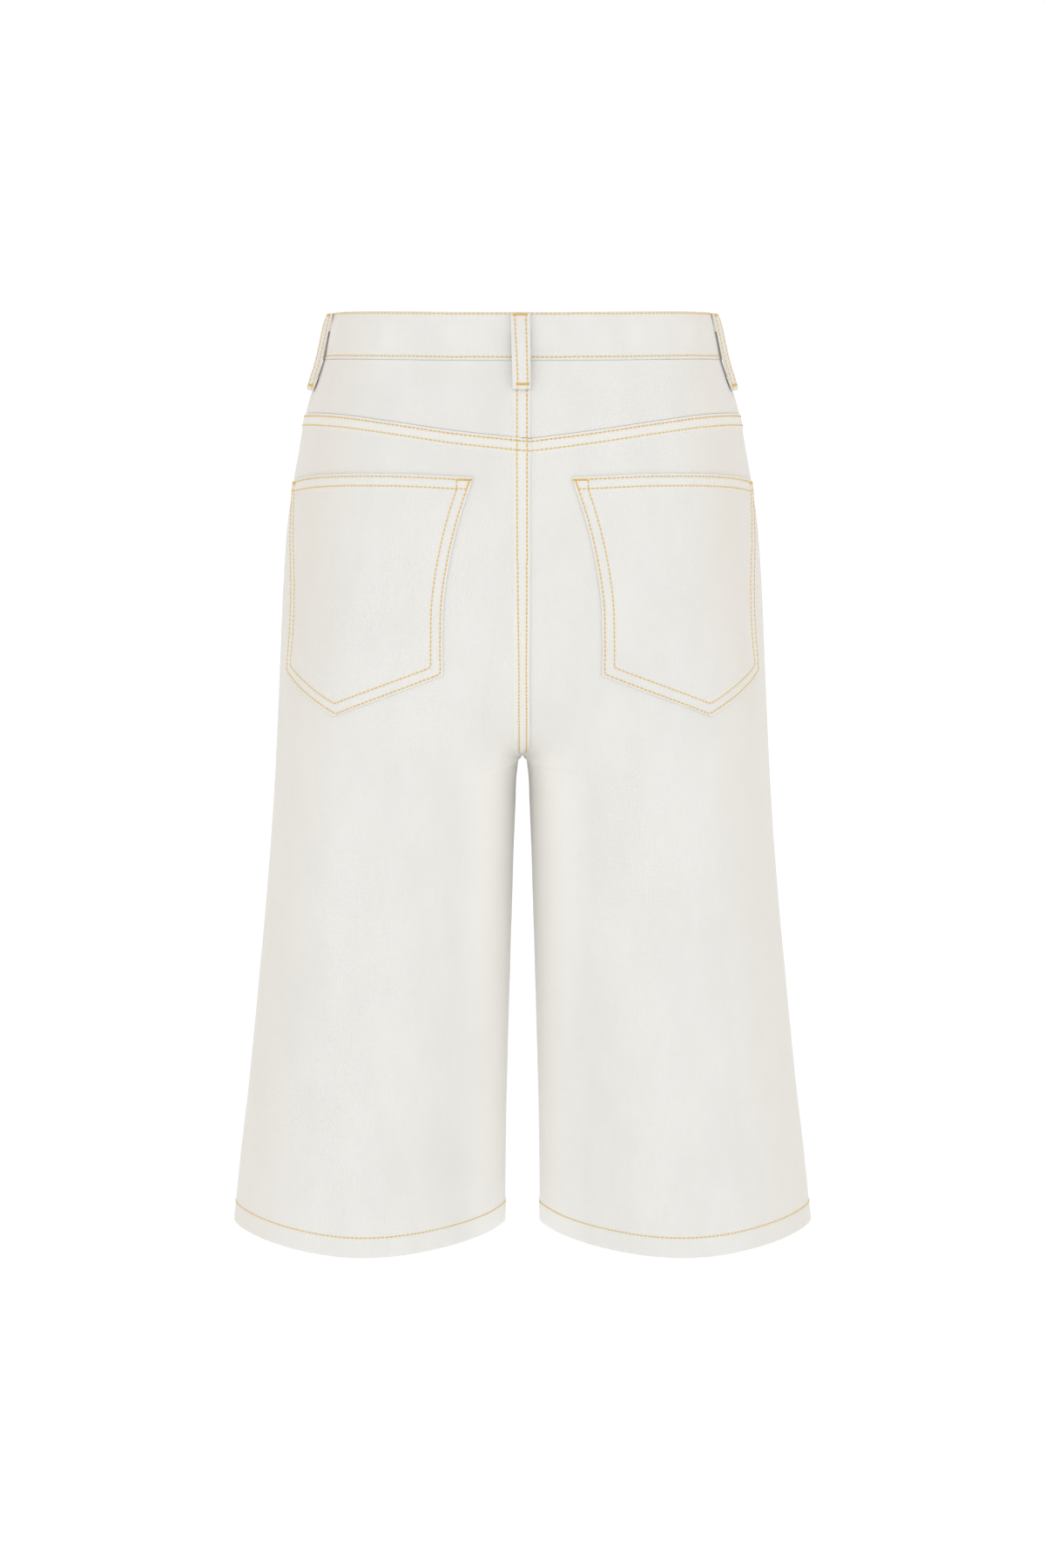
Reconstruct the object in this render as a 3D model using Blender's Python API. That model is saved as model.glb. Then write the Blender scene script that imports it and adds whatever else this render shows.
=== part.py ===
"""Knee-length jean capris, filled out as if worn, built as the pieces that are sewn together.

Metres, +Z up. The wearer faces -Y, so +X is the wearer's left. The origin is the middle of the
waist opening, half way up the waistband. All panels are patches of one smooth body surface, each
with a cloth wall on its inner side. A place on that surface is a nominal height and a girth: the
distance round the body from the centre-back seam, or from the inseam below the crotch. Sizes and
tables are in millimetres, and the meshes are scaled to metres when they are made.
"""
import math

import bmesh
import bpy
import numpy as np

MM = 0.001

# Lengths up and down the garment.
BAND_HEIGHT = 35.0
WAIST_TOP = BAND_HEIGHT / 2
WAIST_SEAM = -BAND_HEIGHT / 2
SEAT_START = -150.0
CROTCH_HEIGHT = -321.0
HEM_HEIGHT = -687.0
HEM_TURN = 17.0

# Shape of the seat and the waist. The crotch seam is a U: how far it reaches back and forward
# from the crotch point, and how high it takes to get there.
CROTCH_REACH_BACK = 108.0
CROTCH_REACH_FRONT = 92.0
CROTCH_RISE = 92.0
CROTCH_ROUNDING = 14.0
FRONT_DIP = 20.0
DIP_END = -190.0
SIDE_SEAM_ANGLE = 97.0

# Cloth and its gaps.
CLOTH = 1.2
HEM_CLOTH = 2.4
BAND_CLOTH = 2.4
BAND_PROUD = 0.4
SEAM_GAP = 0.3
POCKET_GAP = 0.45

# Body sections, one row a height: half width from the centre to the side, depth of the back and
# of the front from the side line, how square the section is (2 is an ellipse), and how far the
# leg is flattened to a pointed oval.
BODY_COLUMNS = ("height", "half_width", "back", "front", "squareness", "flatness")
BODY = (
    (-700, 225.0, 111, 107, 2.00, 0.60),
    (-645, 219.5, 111, 107, 2.00, 0.54),
    (-580, 211.5, 111, 107, 2.02, 0.45),
    (-500, 203.0, 111, 107, 2.05, 0.32),
    (-420, 195.0, 112, 107, 2.09, 0.18),
    (-350, 189.5, 115, 107, 2.13, 0.08),
    (-290, 186.0, 119, 105, 2.18, 0.02),
    (-240, 183.5, 122, 103, 2.22, 0.00),
    (-190, 181.0, 122, 100, 2.24, 0.00),
    (-140, 177.0, 119, 97, 2.24, 0.00),
    (-90, 169.0, 113, 94, 2.22, 0.00),
    (-50, 161.0, 108, 92, 2.18, 0.00),
    (-18, 150.0, 103, 90, 2.15, 0.00),
    (20, 142.0, 98, 87, 2.12, 0.00),
)

# Half of the gap between the legs by the distance below the crotch, and how much of it is a
# local hollow of the inner leg under the crotch.
GAP_COLUMNS = ("below", "half_gap", "hollow")
GAP = (
    (0, 0.15, 0.0),
    (1, 1.6, 1.4),
    (3, 2.6, 2.3),
    (10, 3.9, 3.4),
    (40, 5.6, 4.0),
    (110, 8.0, 3.8),
    (200, 10.6, 3.1),
    (280, 12.6, 2.2),
    (379, 13.6, 0.0),
)

# Yoke seam and pocket, drawn on the left half by girth and height.
LINE_COLUMNS = ("girth", "height")
YOKE_SEAM = (
    (0, -73.5),
    (50, -68.0),
    (100, -61.8),
    (140, -58.2),
    (170, -57.5),
    (220, -58.5),
)
POCKET_TOP = (
    (35, -101.5),
    (100, -100.0),
    (160, -103.0),
    (213, -110.0),
)
POCKET_SIDE_COLUMNS = ("height", "inner", "outer")
POCKET_SIDES = (
    (-280, 60.5, 210),
    (-245, 59.4, 206),
    (-220, 58.3, 201),
    (-190, 56.8, 200),
    (-165, 53.2, 203),
    (-138, 47.2, 207),
    (-100, 35.0, 213),
)
POCKET_CORNER_INNER = (59.4, -245.5)
POCKET_POINT = (145.0, -278.0)
POCKET_CORNER_OUTER = (206.0, -251.0)

# Belt loop: centre line of its strip from the tucked upper end to the tucked lower end, by the
# distance off the body surface and the height.
LOOP_WIDTH = 14.0
LOOP_CLOTH = 1.2
LOOP_COLUMNS = ("off", "height")
LOOP_PATH = (
    (1.5, 3.0),
    (1.5, 9.0),
    (1.7, 13.5),
    (2.5, 15.9),
    (3.4, 14.6),
    (4.3, 9.5),
    (5.2, 3.0),
    (6.2, -5.0),
    (6.8, -12.0),
    (6.8, -17.5),
    (6.3, -22.0),
    (6.2, -27.0),
    (5.7, -32.0),
    (4.6, -36.4),
    (3.2, -38.0),
    (2.0, -36.2),
    (1.3, -32.0),
    (1.0, -27.5),
)
LOOP_POINTS = 26

# Middle of each belt loop as a share of the half girth, and how far the back one leans over
# the height of the band.
BACK_LOOP_SHARE = 0.004
BACK_LOOP_LEAN = -0.6
SIDE_LOOP_SHARE = 0.468
FRONT_LOOP_SHARE = 0.835

# Fly, zip and button, measured from the centre-front line.
FLY_END = -185.0
FLY_STEP = 1.5
FLY_STEP_WIDTH = 22.0
FLY_STEP_RAMP = 25.0
BAND_STEP = BAND_CLOTH + SEAM_GAP
BAND_STEP_WIDTH = 30.0
BAND_ROW_HEIGHTS = (WAIST_TOP, 8.0, -8.0, WAIST_SEAM + SEAM_GAP / 2)
BAND_FOLD = 0.7
BAND_LEFT_STATIONS = (0.0, 7.0, 23.0)
BAND_START = 40.0
BAND_NEAR_BACK = 8.0
BAND_STATIONS = 20
UNDERLAP = 36.0
SHIELD_RIGHT = 14.0
SHIELD_LEFT = 34.0
SHIELD_SINK_RIGHT = 3.0
SHIELD_SINK_LEFT = 4.7
SHIELD_SINK_FROM = -6.0
SHIELD_SINK_WIDTH = 8.0
SHIELD_COLUMNS = 9
SHIELD_ROWS = 8
SHIELD_TOP = WAIST_SEAM - 1.0
SHIELD_END = FLY_END - 8.0
ZIP_SINK = CLOTH + SEAM_GAP
ZIP_TAPE = 0.8
ZIP_CHAIN = 2.0
ZIP_COLUMNS = (2.0, 3.4, 8.4, 9.8, 22.0)
ZIP_TOP = -29.0
ZIP_END = FLY_END + 6.0
ZIP_ROWS = 7
SLIDER_WIDTH = 6.0
SLIDER_HEIGHT = 8.0
SLIDER_DEPTH = 2.4
SLIDER_GAP = 0.8
SLIDER_SINK = ZIP_SINK + 0.1
SLIDER_ROUNDING = 0.6
BUTTON_FROM_MIDDLE = 15.0
BUTTON_RADIUS = 8.5
NECK_RADIUS = 3.6
HOLE_RADIUS = 4.2
SLIT_LENGTH = 13.0
SLIT_WIDTH = 0.8
CUTTER_TOP = 3.0

# Shank button: radius and level of its turned profile, out from the face of the waistband.
BUTTON_COLUMNS = ("radius", "level")
BUTTON_PROFILE = (
    (0.0, -BAND_CLOTH),
    (NECK_RADIUS, -BAND_CLOTH),
    (NECK_RADIUS, SEAM_GAP),
    (BUTTON_RADIUS - 0.8, SEAM_GAP),
    (BUTTON_RADIUS, 1.0),
    (BUTTON_RADIUS, 2.2),
    (BUTTON_RADIUS - 1.0, 3.0),
    (BUTTON_RADIUS - 2.2, 2.9),
    (BUTTON_RADIUS - 3.2, 2.3),
    (0.0, 2.5),
)

# How finely the panels are divided.
LEG_ROWS = (-321, -322, -324, -331, -350, -385, -430, -480, -530, -580, -625, -669.5, -670.5)
CROTCH_ROWS = (-217, -238, -258, -276, -291, -303, -312, -317.5, -320.2)
SEAT_ROWS = (-100, -130, -160, -190) + CROTCH_ROWS
FRONT_ROWS = (-45, -75, -105, -135, -165, -192) + CROTCH_ROWS
PANEL_COLUMNS = 16
YOKE_ROWS = 3
POCKET_COLUMNS = 7
POCKET_ROWS = 10
RING_SAMPLES = 160


def smooth(knots, values, where):
    """Read a smooth curve through the knots, whose slopes come from the neighbouring knots."""
    knots = np.asarray(knots, dtype=float)
    values = np.asarray(values, dtype=float)
    slopes = np.gradient(values, knots)
    i = np.clip(np.searchsorted(knots, where) - 1, 0, len(knots) - 2)
    step = knots[i + 1] - knots[i]
    t = np.clip((where - knots[i]) / step, 0.0, 1.0)
    start = (1 + 2 * t) * (1 - t) ** 2 * values[i] + t * (1 - t) ** 2 * step * slopes[i]
    end = t * t * (3 - 2 * t) * values[i + 1] - t * t * (1 - t) * step * slopes[i + 1]
    return start + end


def ease(t):
    """Rise smoothly from 0 to 1 as t goes from 0 to 1."""
    t = np.clip(t, 0.0, 1.0)
    return t * t * (3 - 2 * t)


def read(rows, columns, name, where):
    """Read the named column of a table at the values of its first column."""
    table = np.asarray(rows, dtype=float)
    return smooth(table[:, 0], table[:, columns.index(name)], where)


# ---- body surface ----

def soft_max(a, b, rounding):
    """The larger of a and b, with the change from one to the other rounded."""
    rounding = np.maximum(rounding, 1e-6)
    share = np.clip(0.5 + 0.5 * (a - b) / rounding, 0.0, 1.0)
    return b + (a - b) * share + rounding * share * (1 - share)


def section(height):
    """Centre and half width of the left half's section at each height.

    Below the crotch it is a whole leg; above, its centre moves to the middle of the body.
    """
    half_width = read(BODY, BODY_COLUMNS, "half_width", height)
    below = CROTCH_HEIGHT - height
    gap = read(GAP, GAP_COLUMNS, "half_gap", below) - read(GAP, GAP_COLUMNS, "hollow", below)
    shift = 1 - ease((height - CROTCH_HEIGHT) / (SEAT_START - CROTCH_HEIGHT))
    inner = gap - half_width * (1 - shift) / (1 + shift)
    return (half_width + inner) / 2, (half_width - inner) / 2


def on_body(height, angle, off=0.0):
    """Point at an angle round a section: -90 is the inner edge, 0 the back, 90 the side."""
    centre, radius = section(height)
    power = 2 / read(BODY, BODY_COLUMNS, "squareness", height)
    flat = read(BODY, BODY_COLUMNS, "flatness", height)
    sine = np.sin(np.radians(angle))
    cosine = np.cos(np.radians(angle))
    is_back = cosine > 0
    back = read(BODY, BODY_COLUMNS, "back", height)
    front = read(BODY, BODY_COLUMNS, "front", height)
    depth = np.where(is_back, back, front) * (1 - flat + flat * np.abs(cosine))
    y = depth * np.abs(cosine) ** power
    rise = np.clip((height - CROTCH_HEIGHT) / CROTCH_RISE, 0.0, 1.0)
    reach = np.where(is_back, CROTCH_REACH_BACK, CROTCH_REACH_FRONT) * ease(-sine / 0.3)
    seam = reach * np.sqrt(1 - (1 - rise) ** 2)
    y = soft_max(y, seam, np.minimum(CROTCH_ROUNDING, 0.6 * seam))
    hollow = read(GAP, GAP_COLUMNS, "hollow", CROTCH_HEIGHT - height) * ease((-sine - 0.5) / 0.5)
    x = centre + radius * np.sign(sine) * np.abs(sine) ** power + hollow
    turned = (1 - np.cos(np.radians(np.clip(angle, 0.0, 180.0)))) / 2
    dip = FRONT_DIP * turned ** 2 * ease((height - DIP_END) / -DIP_END)
    point = np.stack(np.broadcast_arrays(x, np.where(is_back, y, -y), height - dip), axis=-1)
    if np.any(off):
        point = point + np.asarray(off)[..., None] * outward(height, angle)
    return point


def outward(height, angle):
    """Unit normal of the body surface."""
    up = np.where(height > CROTCH_HEIGHT, 0.5, 0.0)
    turn = on_body(height, angle + 0.5) - on_body(height, angle - 0.5)
    rise = on_body(height + up, angle) - on_body(height - 0.5, angle)
    normal = np.cross(rise, turn)
    return normal / np.linalg.norm(normal, axis=-1, keepdims=True)


def start_angle(height):
    """Angle where the section leaves the seam plane at the back."""
    centre, radius = section(height)
    power = 2 / read(BODY, BODY_COLUMNS, "squareness", height)
    ratio = np.clip((centre - SEAM_GAP / 2) / radius, 0.0, 1.0)
    return -np.degrees(np.arcsin(ratio ** (1 / power)))


def ring(height):
    """Angles and running girths round each height's section, from the back to the front."""
    first = start_angle(height)[..., None]
    angle = first + np.linspace(0.0, 1.0, RING_SAMPLES) * (180 - 2 * first)
    points = on_body(height[..., None], angle)[..., :2]
    steps = np.linalg.norm(np.diff(points, axis=-2), axis=-1)
    girth = np.concatenate([np.zeros(height.shape + (1,)), np.cumsum(steps, axis=-1)], axis=-1)
    return angle, girth


def angle_at(height, girth):
    """Angle at a girth round each height's section; past either end it runs straight on."""
    height, girth = np.broadcast_arrays(np.asarray(height, float), np.asarray(girth, float))
    angles, girths = ring(height)
    i = np.clip((girths < girth[..., None]).sum(axis=-1) - 1, 0, RING_SAMPLES - 2)[..., None]
    a0, a1 = (np.take_along_axis(angles, i + k, -1)[..., 0] for k in (0, 1))
    g0, g1 = (np.take_along_axis(girths, i + k, -1)[..., 0] for k in (0, 1))
    return a0 + (a1 - a0) * (girth - g0) / (g1 - g0)


def girth_at(height, angle):
    """Girth at an angle round each height's section."""
    height, angle = np.broadcast_arrays(np.asarray(height, float), np.asarray(angle, float))
    angles, girths = ring(height)
    share = (angle - angles[..., 0]) / (angles[..., -1] - angles[..., 0]) * (RING_SAMPLES - 1)
    i = np.clip(share.astype(int), 0, RING_SAMPLES - 2)[..., None]
    g0, g1 = (np.take_along_axis(girths, i + k, -1)[..., 0] for k in (0, 1))
    return g0 + (g1 - g0) * (share - i[..., 0])


def side_girth(height):
    """Girth of the side seam at each height."""
    return girth_at(height, SIDE_SEAM_ANGLE)


def first_girth(height):
    """Girth where the cloth starts: at the seam plane, or just clear of the inseam."""
    return np.where(height > CROTCH_HEIGHT, 0.0, SEAM_GAP / 2)


def last_girth(height):
    """Girth where the cloth ends at the front."""
    return ring(np.asarray(height, float))[1][..., -1] - first_girth(height)


def place(height, girth, off=0.0):
    """Point on the left half at a nominal height and girth, some way off the surface."""
    height, girth = np.broadcast_arrays(np.asarray(height, float), np.asarray(girth, float))
    return on_body(height, angle_at(height, girth), off)


# ---- making meshes ----

def material(name, colour, roughness, metallic=0.0):
    """Plain finish of a piece."""
    made = bpy.data.materials.new(name)
    made.use_nodes = True
    shader = made.node_tree.nodes["Principled BSDF"]
    shader.inputs["Base Color"].default_value = (*colour, 1.0)
    shader.inputs["Roughness"].default_value = roughness
    shader.inputs["Metallic"].default_value = metallic
    return made


def add_mesh(name, vertices, faces, finish):
    """New object from millimetre vertices."""
    mesh = bpy.data.meshes.new(name)
    mesh.from_pydata([tuple(v * MM) for v in np.asarray(vertices)], [], faces)
    mesh.materials.append(finish)
    mesh.validate()
    thing = bpy.data.objects.new(name, mesh)
    bpy.context.collection.objects.link(thing)
    return thing


def grid_faces(rows, columns, first=0):
    """Faces of a grid of vertices, row by row."""
    faces = []
    for r in range(rows - 1):
        for c in range(columns - 1):
            a = first + r * columns + c
            faces.append((a, a + 1, a + columns + 1, a + columns))
    return faces


def cloth_wall(name, outer, inner, half, finish):
    """Closed wall between two grids of points of the left half, mirrored for the right half."""
    rows, columns = outer.shape[:2]
    count = rows * columns
    faces = grid_faces(rows, columns)
    faces += [face[::-1] for face in grid_faces(rows, columns, count)]
    rim = [c for c in range(columns)]
    rim += [r * columns + columns - 1 for r in range(1, rows)]
    rim += [(rows - 1) * columns + c for c in range(columns - 2, -1, -1)]
    rim += [r * columns for r in range(rows - 2, 0, -1)]
    for a, b in zip(rim, rim[1:] + rim[:1]):
        faces.append((b, a, a + count, b + count))
    if half < 0:
        faces = [face[::-1] for face in faces]
    vertices = np.concatenate([outer.reshape(-1, 3), inner.reshape(-1, 3)]) * (half, 1, 1)
    wall = add_mesh(name, vertices, faces, finish)
    wall.data.shade_smooth()
    wall.data.set_sharp_from_angle(angle=math.radians(50))
    return wall


def panel(name, height, angle, half, finish, thickness=CLOTH, off=0.0):
    """Cloth wall on the body surface, from the heights and angles of its outer points."""
    off = off + 0 * angle
    outer = on_body(height, angle, off)
    inner = on_body(height, angle, off - thickness)
    return cloth_wall(name, outer, inner, half, finish)


def back_angles(height, part):
    """Angles across the back at each height, part running from the middle to the side seam."""
    start = angle_at(height, first_girth(height))
    end = angle_at(height, side_girth(height) - SEAM_GAP / 2)
    return start * (1 - part) + end * part


def front_angles(height, part):
    """Angles across the front at each height, part running from the side seam to the middle."""
    start = angle_at(height, side_girth(height) + SEAM_GAP / 2)
    end = angle_at(height, last_girth(height))
    return start * (1 - part) + end * part


# ---- cloth pieces ----

def hem_wall(height):
    """Thickness of a leg's wall: one layer, and two where the hem is turned up inside."""
    return np.where(height < HEM_HEIGHT + HEM_TURN, HEM_CLOTH, CLOTH)


def yoke_seam(part):
    """Height of the yoke seam across the back."""
    level = YOKE_SEAM[0][1]
    girth = girth_at(level, back_angles(np.full(part.shape, level), part))
    return read(YOKE_SEAM, LINE_COLUMNS, "height", girth)


def yoke(name, half, finish):
    """Pointed yoke between the waist seam and the back panel."""
    part = np.linspace(0.0, 1.0, PANEL_COLUMNS + 1)
    down = np.linspace(0.0, 1.0, YOKE_ROWS + 1)[:, None]
    top = WAIST_SEAM - SEAM_GAP / 2
    height = top * (1 - down) + (yoke_seam(part) + SEAM_GAP / 2) * down
    return panel(name, height, back_angles(height, part), half, finish)


def back_panel(name, half, finish):
    """Back leg from the yoke seam to the hem, with the hem turned up inside."""
    part = np.linspace(0.0, 1.0, PANEL_COLUMNS + 1)
    rows = np.array((YOKE_SEAM[0][1],) + SEAT_ROWS + LEG_ROWS + (HEM_HEIGHT,))[:, None]
    settle = ease((rows - SEAT_ROWS[2]) / (rows[0] - SEAT_ROWS[2]))
    height = rows + (yoke_seam(part) - YOKE_SEAM[0][1]) * settle
    height[0] -= SEAM_GAP / 2
    return panel(name, height, back_angles(height, part), half, finish, hem_wall(height))


def fly_step(from_middle, height):
    """Distance that the right front sinks beside the fly, so that the left front laps it."""
    across = ease(1 - from_middle / FLY_STEP_WIDTH)
    return FLY_STEP * across * ease((height - FLY_END) / FLY_STEP_RAMP)


def front_panel(name, half, finish):
    """Front leg from the waist seam to the hem, with the hem turned up inside."""
    part = np.linspace(0.0, 1.0, PANEL_COLUMNS + 1)
    rows = (WAIST_SEAM - SEAM_GAP / 2,) + FRONT_ROWS + LEG_ROWS + (HEM_HEIGHT,)
    height = np.array(rows)[:, None] + 0 * part
    angle = front_angles(height, part)
    sink = 0 * height
    if half < 0:
        sink = fly_step(last_girth(height) - girth_at(height, angle), height)
    return panel(name, height, angle, half, finish, hem_wall(height), -sink)


def pocket(name, half, finish):
    """Patch pocket: the panel's own points moved out, cut to a point at the foot."""
    inner, point, outer = POCKET_CORNER_INNER, POCKET_POINT, POCKET_CORNER_OUTER
    point_share = (point[0] - inner[0]) / (outer[0] - inner[0])
    left = np.linspace(0.0, point_share, POCKET_COLUMNS + 1)
    right = np.linspace(point_share, 1.0, POCKET_COLUMNS + 1)[1:]
    share = np.concatenate([left, right])[None, :]
    top_girth = POCKET_TOP[0][0] + share * (POCKET_TOP[-1][0] - POCKET_TOP[0][0])
    top = read(POCKET_TOP, LINE_COLUMNS, "height", top_girth)
    foot = np.interp(share, (0, point_share, 1), (inner[1], point[1], outer[1]))
    down = np.linspace(0.0, 1.0, POCKET_ROWS + 1)[:, None]
    height = top * (1 - down) + foot * down
    start = read(POCKET_SIDES, POCKET_SIDE_COLUMNS, "inner", height)
    end = read(POCKET_SIDES, POCKET_SIDE_COLUMNS, "outer", height)
    angle = angle_at(height, start + share * (end - start))
    return panel(name, height, angle, half, finish, off=POCKET_GAP + CLOTH)


def belt_loop(name, half, share, lean, finish):
    """Folded strip that stands off the waistband, with both ends tucked under."""
    path = np.array(LOOP_PATH)
    knots = np.arange(len(path))
    where = np.linspace(0, len(path) - 1, LOOP_POINTS)
    off = smooth(knots, path[:, LOOP_COLUMNS.index("off")], where)
    height = smooth(knots, path[:, LOOP_COLUMNS.index("height")], where)
    bend = np.gradient(np.stack([off, height], axis=-1), axis=0)
    bend /= np.linalg.norm(bend, axis=-1, keepdims=True)
    sides = []
    for layer in (-0.5, 0.5):
        layer_off = off - layer * LOOP_CLOTH * bend[:, 1]
        layer_height = height + layer * LOOP_CLOTH * bend[:, 0]
        centre = share * last_girth(layer_height) + lean * (WAIST_TOP - height) / BAND_HEIGHT
        girth = centre[:, None] + np.array((-0.5, 0.5)) * LOOP_WIDTH
        sides.append(loop_points(layer_height, girth, layer_off))
    return cloth_wall(name, sides[1], sides[0], half, finish)


def loop_points(height, girth, off):
    """Points across a belt loop; girths short of the centre back lie on the other half."""
    points = place(height[:, None] + 0 * girth, np.abs(girth), off[:, None] + 0 * girth)
    points[..., 0] *= np.where(girth < 0, -1, 1)
    return points


def band_path():
    """Share of the half girth, half of the body and sink of the waistband's stations.

    The band starts at the centre front, goes round by the left side, the back and the right
    side, and its other end passes on under the start.
    """
    end = float(last_girth(np.zeros(1))[0])
    round_side = np.linspace(BAND_START, end - BAND_NEAR_BACK, BAND_STATIONS)
    left = np.concatenate([BAND_LEFT_STATIONS, round_side])
    right = np.concatenate([round_side[::-1], np.linspace(BAND_STEP_WIDTH, 5, 6)])
    under = np.linspace(0, UNDERLAP, 5)
    from_middle = np.concatenate([left, right, under])
    half = np.concatenate([np.ones(len(left)), -np.ones(len(right)), np.ones(len(under))])
    near = np.concatenate([np.full(len(left), BAND_STEP_WIDTH), right, 0 * under])
    return 1 - from_middle / end, half, BAND_STEP * ease(1 - near / BAND_STEP_WIDTH)


def waistband(name, finish):
    """Folded band round the waist, open at the centre front, with its ends lapped."""
    heights = np.array(BAND_ROW_HEIGHTS)
    share, half, sink = (np.tile(values[::-1], (len(heights), 1)) for values in band_path())
    height = heights[:, None] + 0 * share
    girth = share * last_girth(height)
    layers = []
    for depth in (0.0, BAND_CLOTH):
        layer = place(height, girth, BAND_PROUD - sink - depth)
        layer[..., 0] *= half
        layers.append(layer)
    band = cloth_wall(name, layers[0], layers[1], 1, finish)
    fold = band.modifiers.new("folded edges", "BEVEL")
    fold.width = BAND_FOLD * MM
    fold.segments = 1
    fold.limit_method = "ANGLE"
    fold.angle_limit = math.radians(60)
    return band


def fly_layer(name, across, heights, sink, thickness, finish):
    """Strip behind the centre front; across runs from the left front to the right front."""
    height = np.tile(np.asarray(heights)[:, None], (1, len(across)))
    girth = last_girth(height) - np.abs(across)
    layers = []
    for depth in (0.0, thickness):
        layer = place(height, girth, -sink - depth + 0 * girth)
        layer[..., 0] *= np.where(across < 0, -1, 1)
        layers.append(layer)
    return cloth_wall(name, layers[0], layers[1], 1, finish)


def fly_shield(name, finish):
    """Underlap behind the fly, from behind the left front to behind the right front."""
    across = np.linspace(SHIELD_LEFT, -SHIELD_RIGHT, SHIELD_COLUMNS)
    heights = np.linspace(SHIELD_TOP, SHIELD_END, SHIELD_ROWS)
    deeper = ease((across - SHIELD_SINK_FROM) / SHIELD_SINK_WIDTH)
    sink = SHIELD_SINK_RIGHT + (SHIELD_SINK_LEFT - SHIELD_SINK_RIGHT) * deeper
    return fly_layer(name, across, heights, sink, CLOTH, finish)


def fly_zip(name, finish):
    """Closed zip behind the left front: its tape, thicker along the chain."""
    across = np.array(ZIP_COLUMNS[::-1])
    heights = np.linspace(ZIP_TOP, ZIP_END, ZIP_ROWS)
    chain = (across > ZIP_COLUMNS[0]) & (across < ZIP_COLUMNS[3])
    return fly_layer(name, across, heights, ZIP_SINK, np.where(chain, ZIP_CHAIN, ZIP_TAPE), finish)


# ---- hard pieces ----

def front_frame(from_middle, height, off):
    """Matrix with its Z axis out of the left front and its X axis towards the wearer's left."""
    end = last_girth(np.full(1, height))
    angle = angle_at(np.full(1, height), end - from_middle)
    centre = on_body(np.full(1, height), angle, np.full(1, off))[0]
    out = outward(np.full(1, height), angle)[0]
    up = np.array((0.0, 0.0, 1.0))
    side = np.cross(up, out)
    side /= np.linalg.norm(side)
    return centre, side, np.cross(out, side), out


def framed(frame, points):
    """Points given as across, up and out, taken to the body."""
    centre, side, up, out = frame
    points = np.asarray(points, dtype=float)
    return centre + points[:, :1] * side + points[:, 1:2] * up + points[:, 2:] * out


def turned(name, profile, frame, finish, segments=24):
    """Closed round piece from a profile of radius and height that starts and ends on its axis."""
    vertices = [(0.0, 0.0, profile[0][1])]
    for radius, level in profile[1:-1]:
        for k in range(segments):
            turn = 2 * math.pi * k / segments
            vertices.append((radius * math.cos(turn), radius * math.sin(turn), level))
    vertices.append((0.0, 0.0, profile[-1][1]))
    faces = [(0, 1 + k, 1 + (k + 1) % segments) for k in range(segments)]
    for ring_number in range(len(profile) - 3):
        low = 1 + ring_number * segments
        for k in range(segments):
            after = (k + 1) % segments
            faces.append((low + k, low + segments + k, low + segments + after, low + after))
    last = len(vertices) - 1
    low = last - segments
    faces += [(last, low + (k + 1) % segments, low + k) for k in range(segments)]
    piece = add_mesh(name, framed(frame, vertices), faces, finish)
    edit = bmesh.new()
    edit.from_mesh(piece.data)
    bmesh.ops.recalc_face_normals(edit, faces=edit.faces)
    edit.to_mesh(piece.data)
    edit.free()
    piece.data.shade_smooth()
    return piece


def block(name, size, centre, frame, finish):
    """Box given by its size and centre in a frame."""
    edit = bmesh.new()
    bmesh.ops.create_cube(edit, size=1.0)
    vertices = [np.array(v.co) * size + centre for v in edit.verts]
    faces = [[v.index for v in face.verts] for face in edit.faces]
    edit.free()
    return add_mesh(name, framed(frame, vertices), faces, finish)


def waist_button(name, finish):
    """Shank button: a dished head over the band and a neck through the buttonhole."""
    frame = front_frame(BUTTON_FROM_MIDDLE, 0.0, BAND_PROUD)
    return turned(name, BUTTON_PROFILE, frame, finish)


def cut_buttonhole(band, finish):
    """Cut the round eye and the slit in the lapped end of the band."""
    frame = front_frame(BUTTON_FROM_MIDDLE, 0.0, BAND_PROUD)
    low = -BAND_CLOTH - SEAM_GAP / 2
    high = CUTTER_TOP
    eye = turned("eye_cutter", ((0, low), (HOLE_RADIUS, low), (HOLE_RADIUS, high), (0, high)),
                 frame, finish, segments=16)
    slit = block("slit_cutter", (SLIT_LENGTH, SLIT_WIDTH, high - low),
                 (SLIT_LENGTH / 2, 0.0, (high + low) / 2), frame, finish)
    for cutter in (eye, slit):
        cutter.hide_render = True
        cutter.display_type = "WIRE"
        cut = band.modifiers.new(cutter.name, "BOOLEAN")
        cut.operation = "DIFFERENCE"
        cut.solver = "EXACT"
        cut.object = cutter


def zip_slider(name, finish):
    """Slider at the top of the closed zip, behind the left front."""
    middle = (ZIP_COLUMNS[1] + ZIP_COLUMNS[2]) / 2
    height = ZIP_TOP + SLIDER_GAP + SLIDER_HEIGHT / 2
    frame = front_frame(middle, height, -SLIDER_SINK)
    body = block(name, (SLIDER_WIDTH, SLIDER_HEIGHT, SLIDER_DEPTH),
                 (0.0, 0.0, -SLIDER_DEPTH / 2), frame, finish)
    edges = body.modifiers.new("rounded edges", "BEVEL")
    edges.width = SLIDER_ROUNDING * MM
    edges.segments = 2
    return body


def clear_scene():
    """Remove the objects that are there."""
    for thing in list(bpy.data.objects):
        bpy.data.objects.remove(thing, do_unlink=True)


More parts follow.
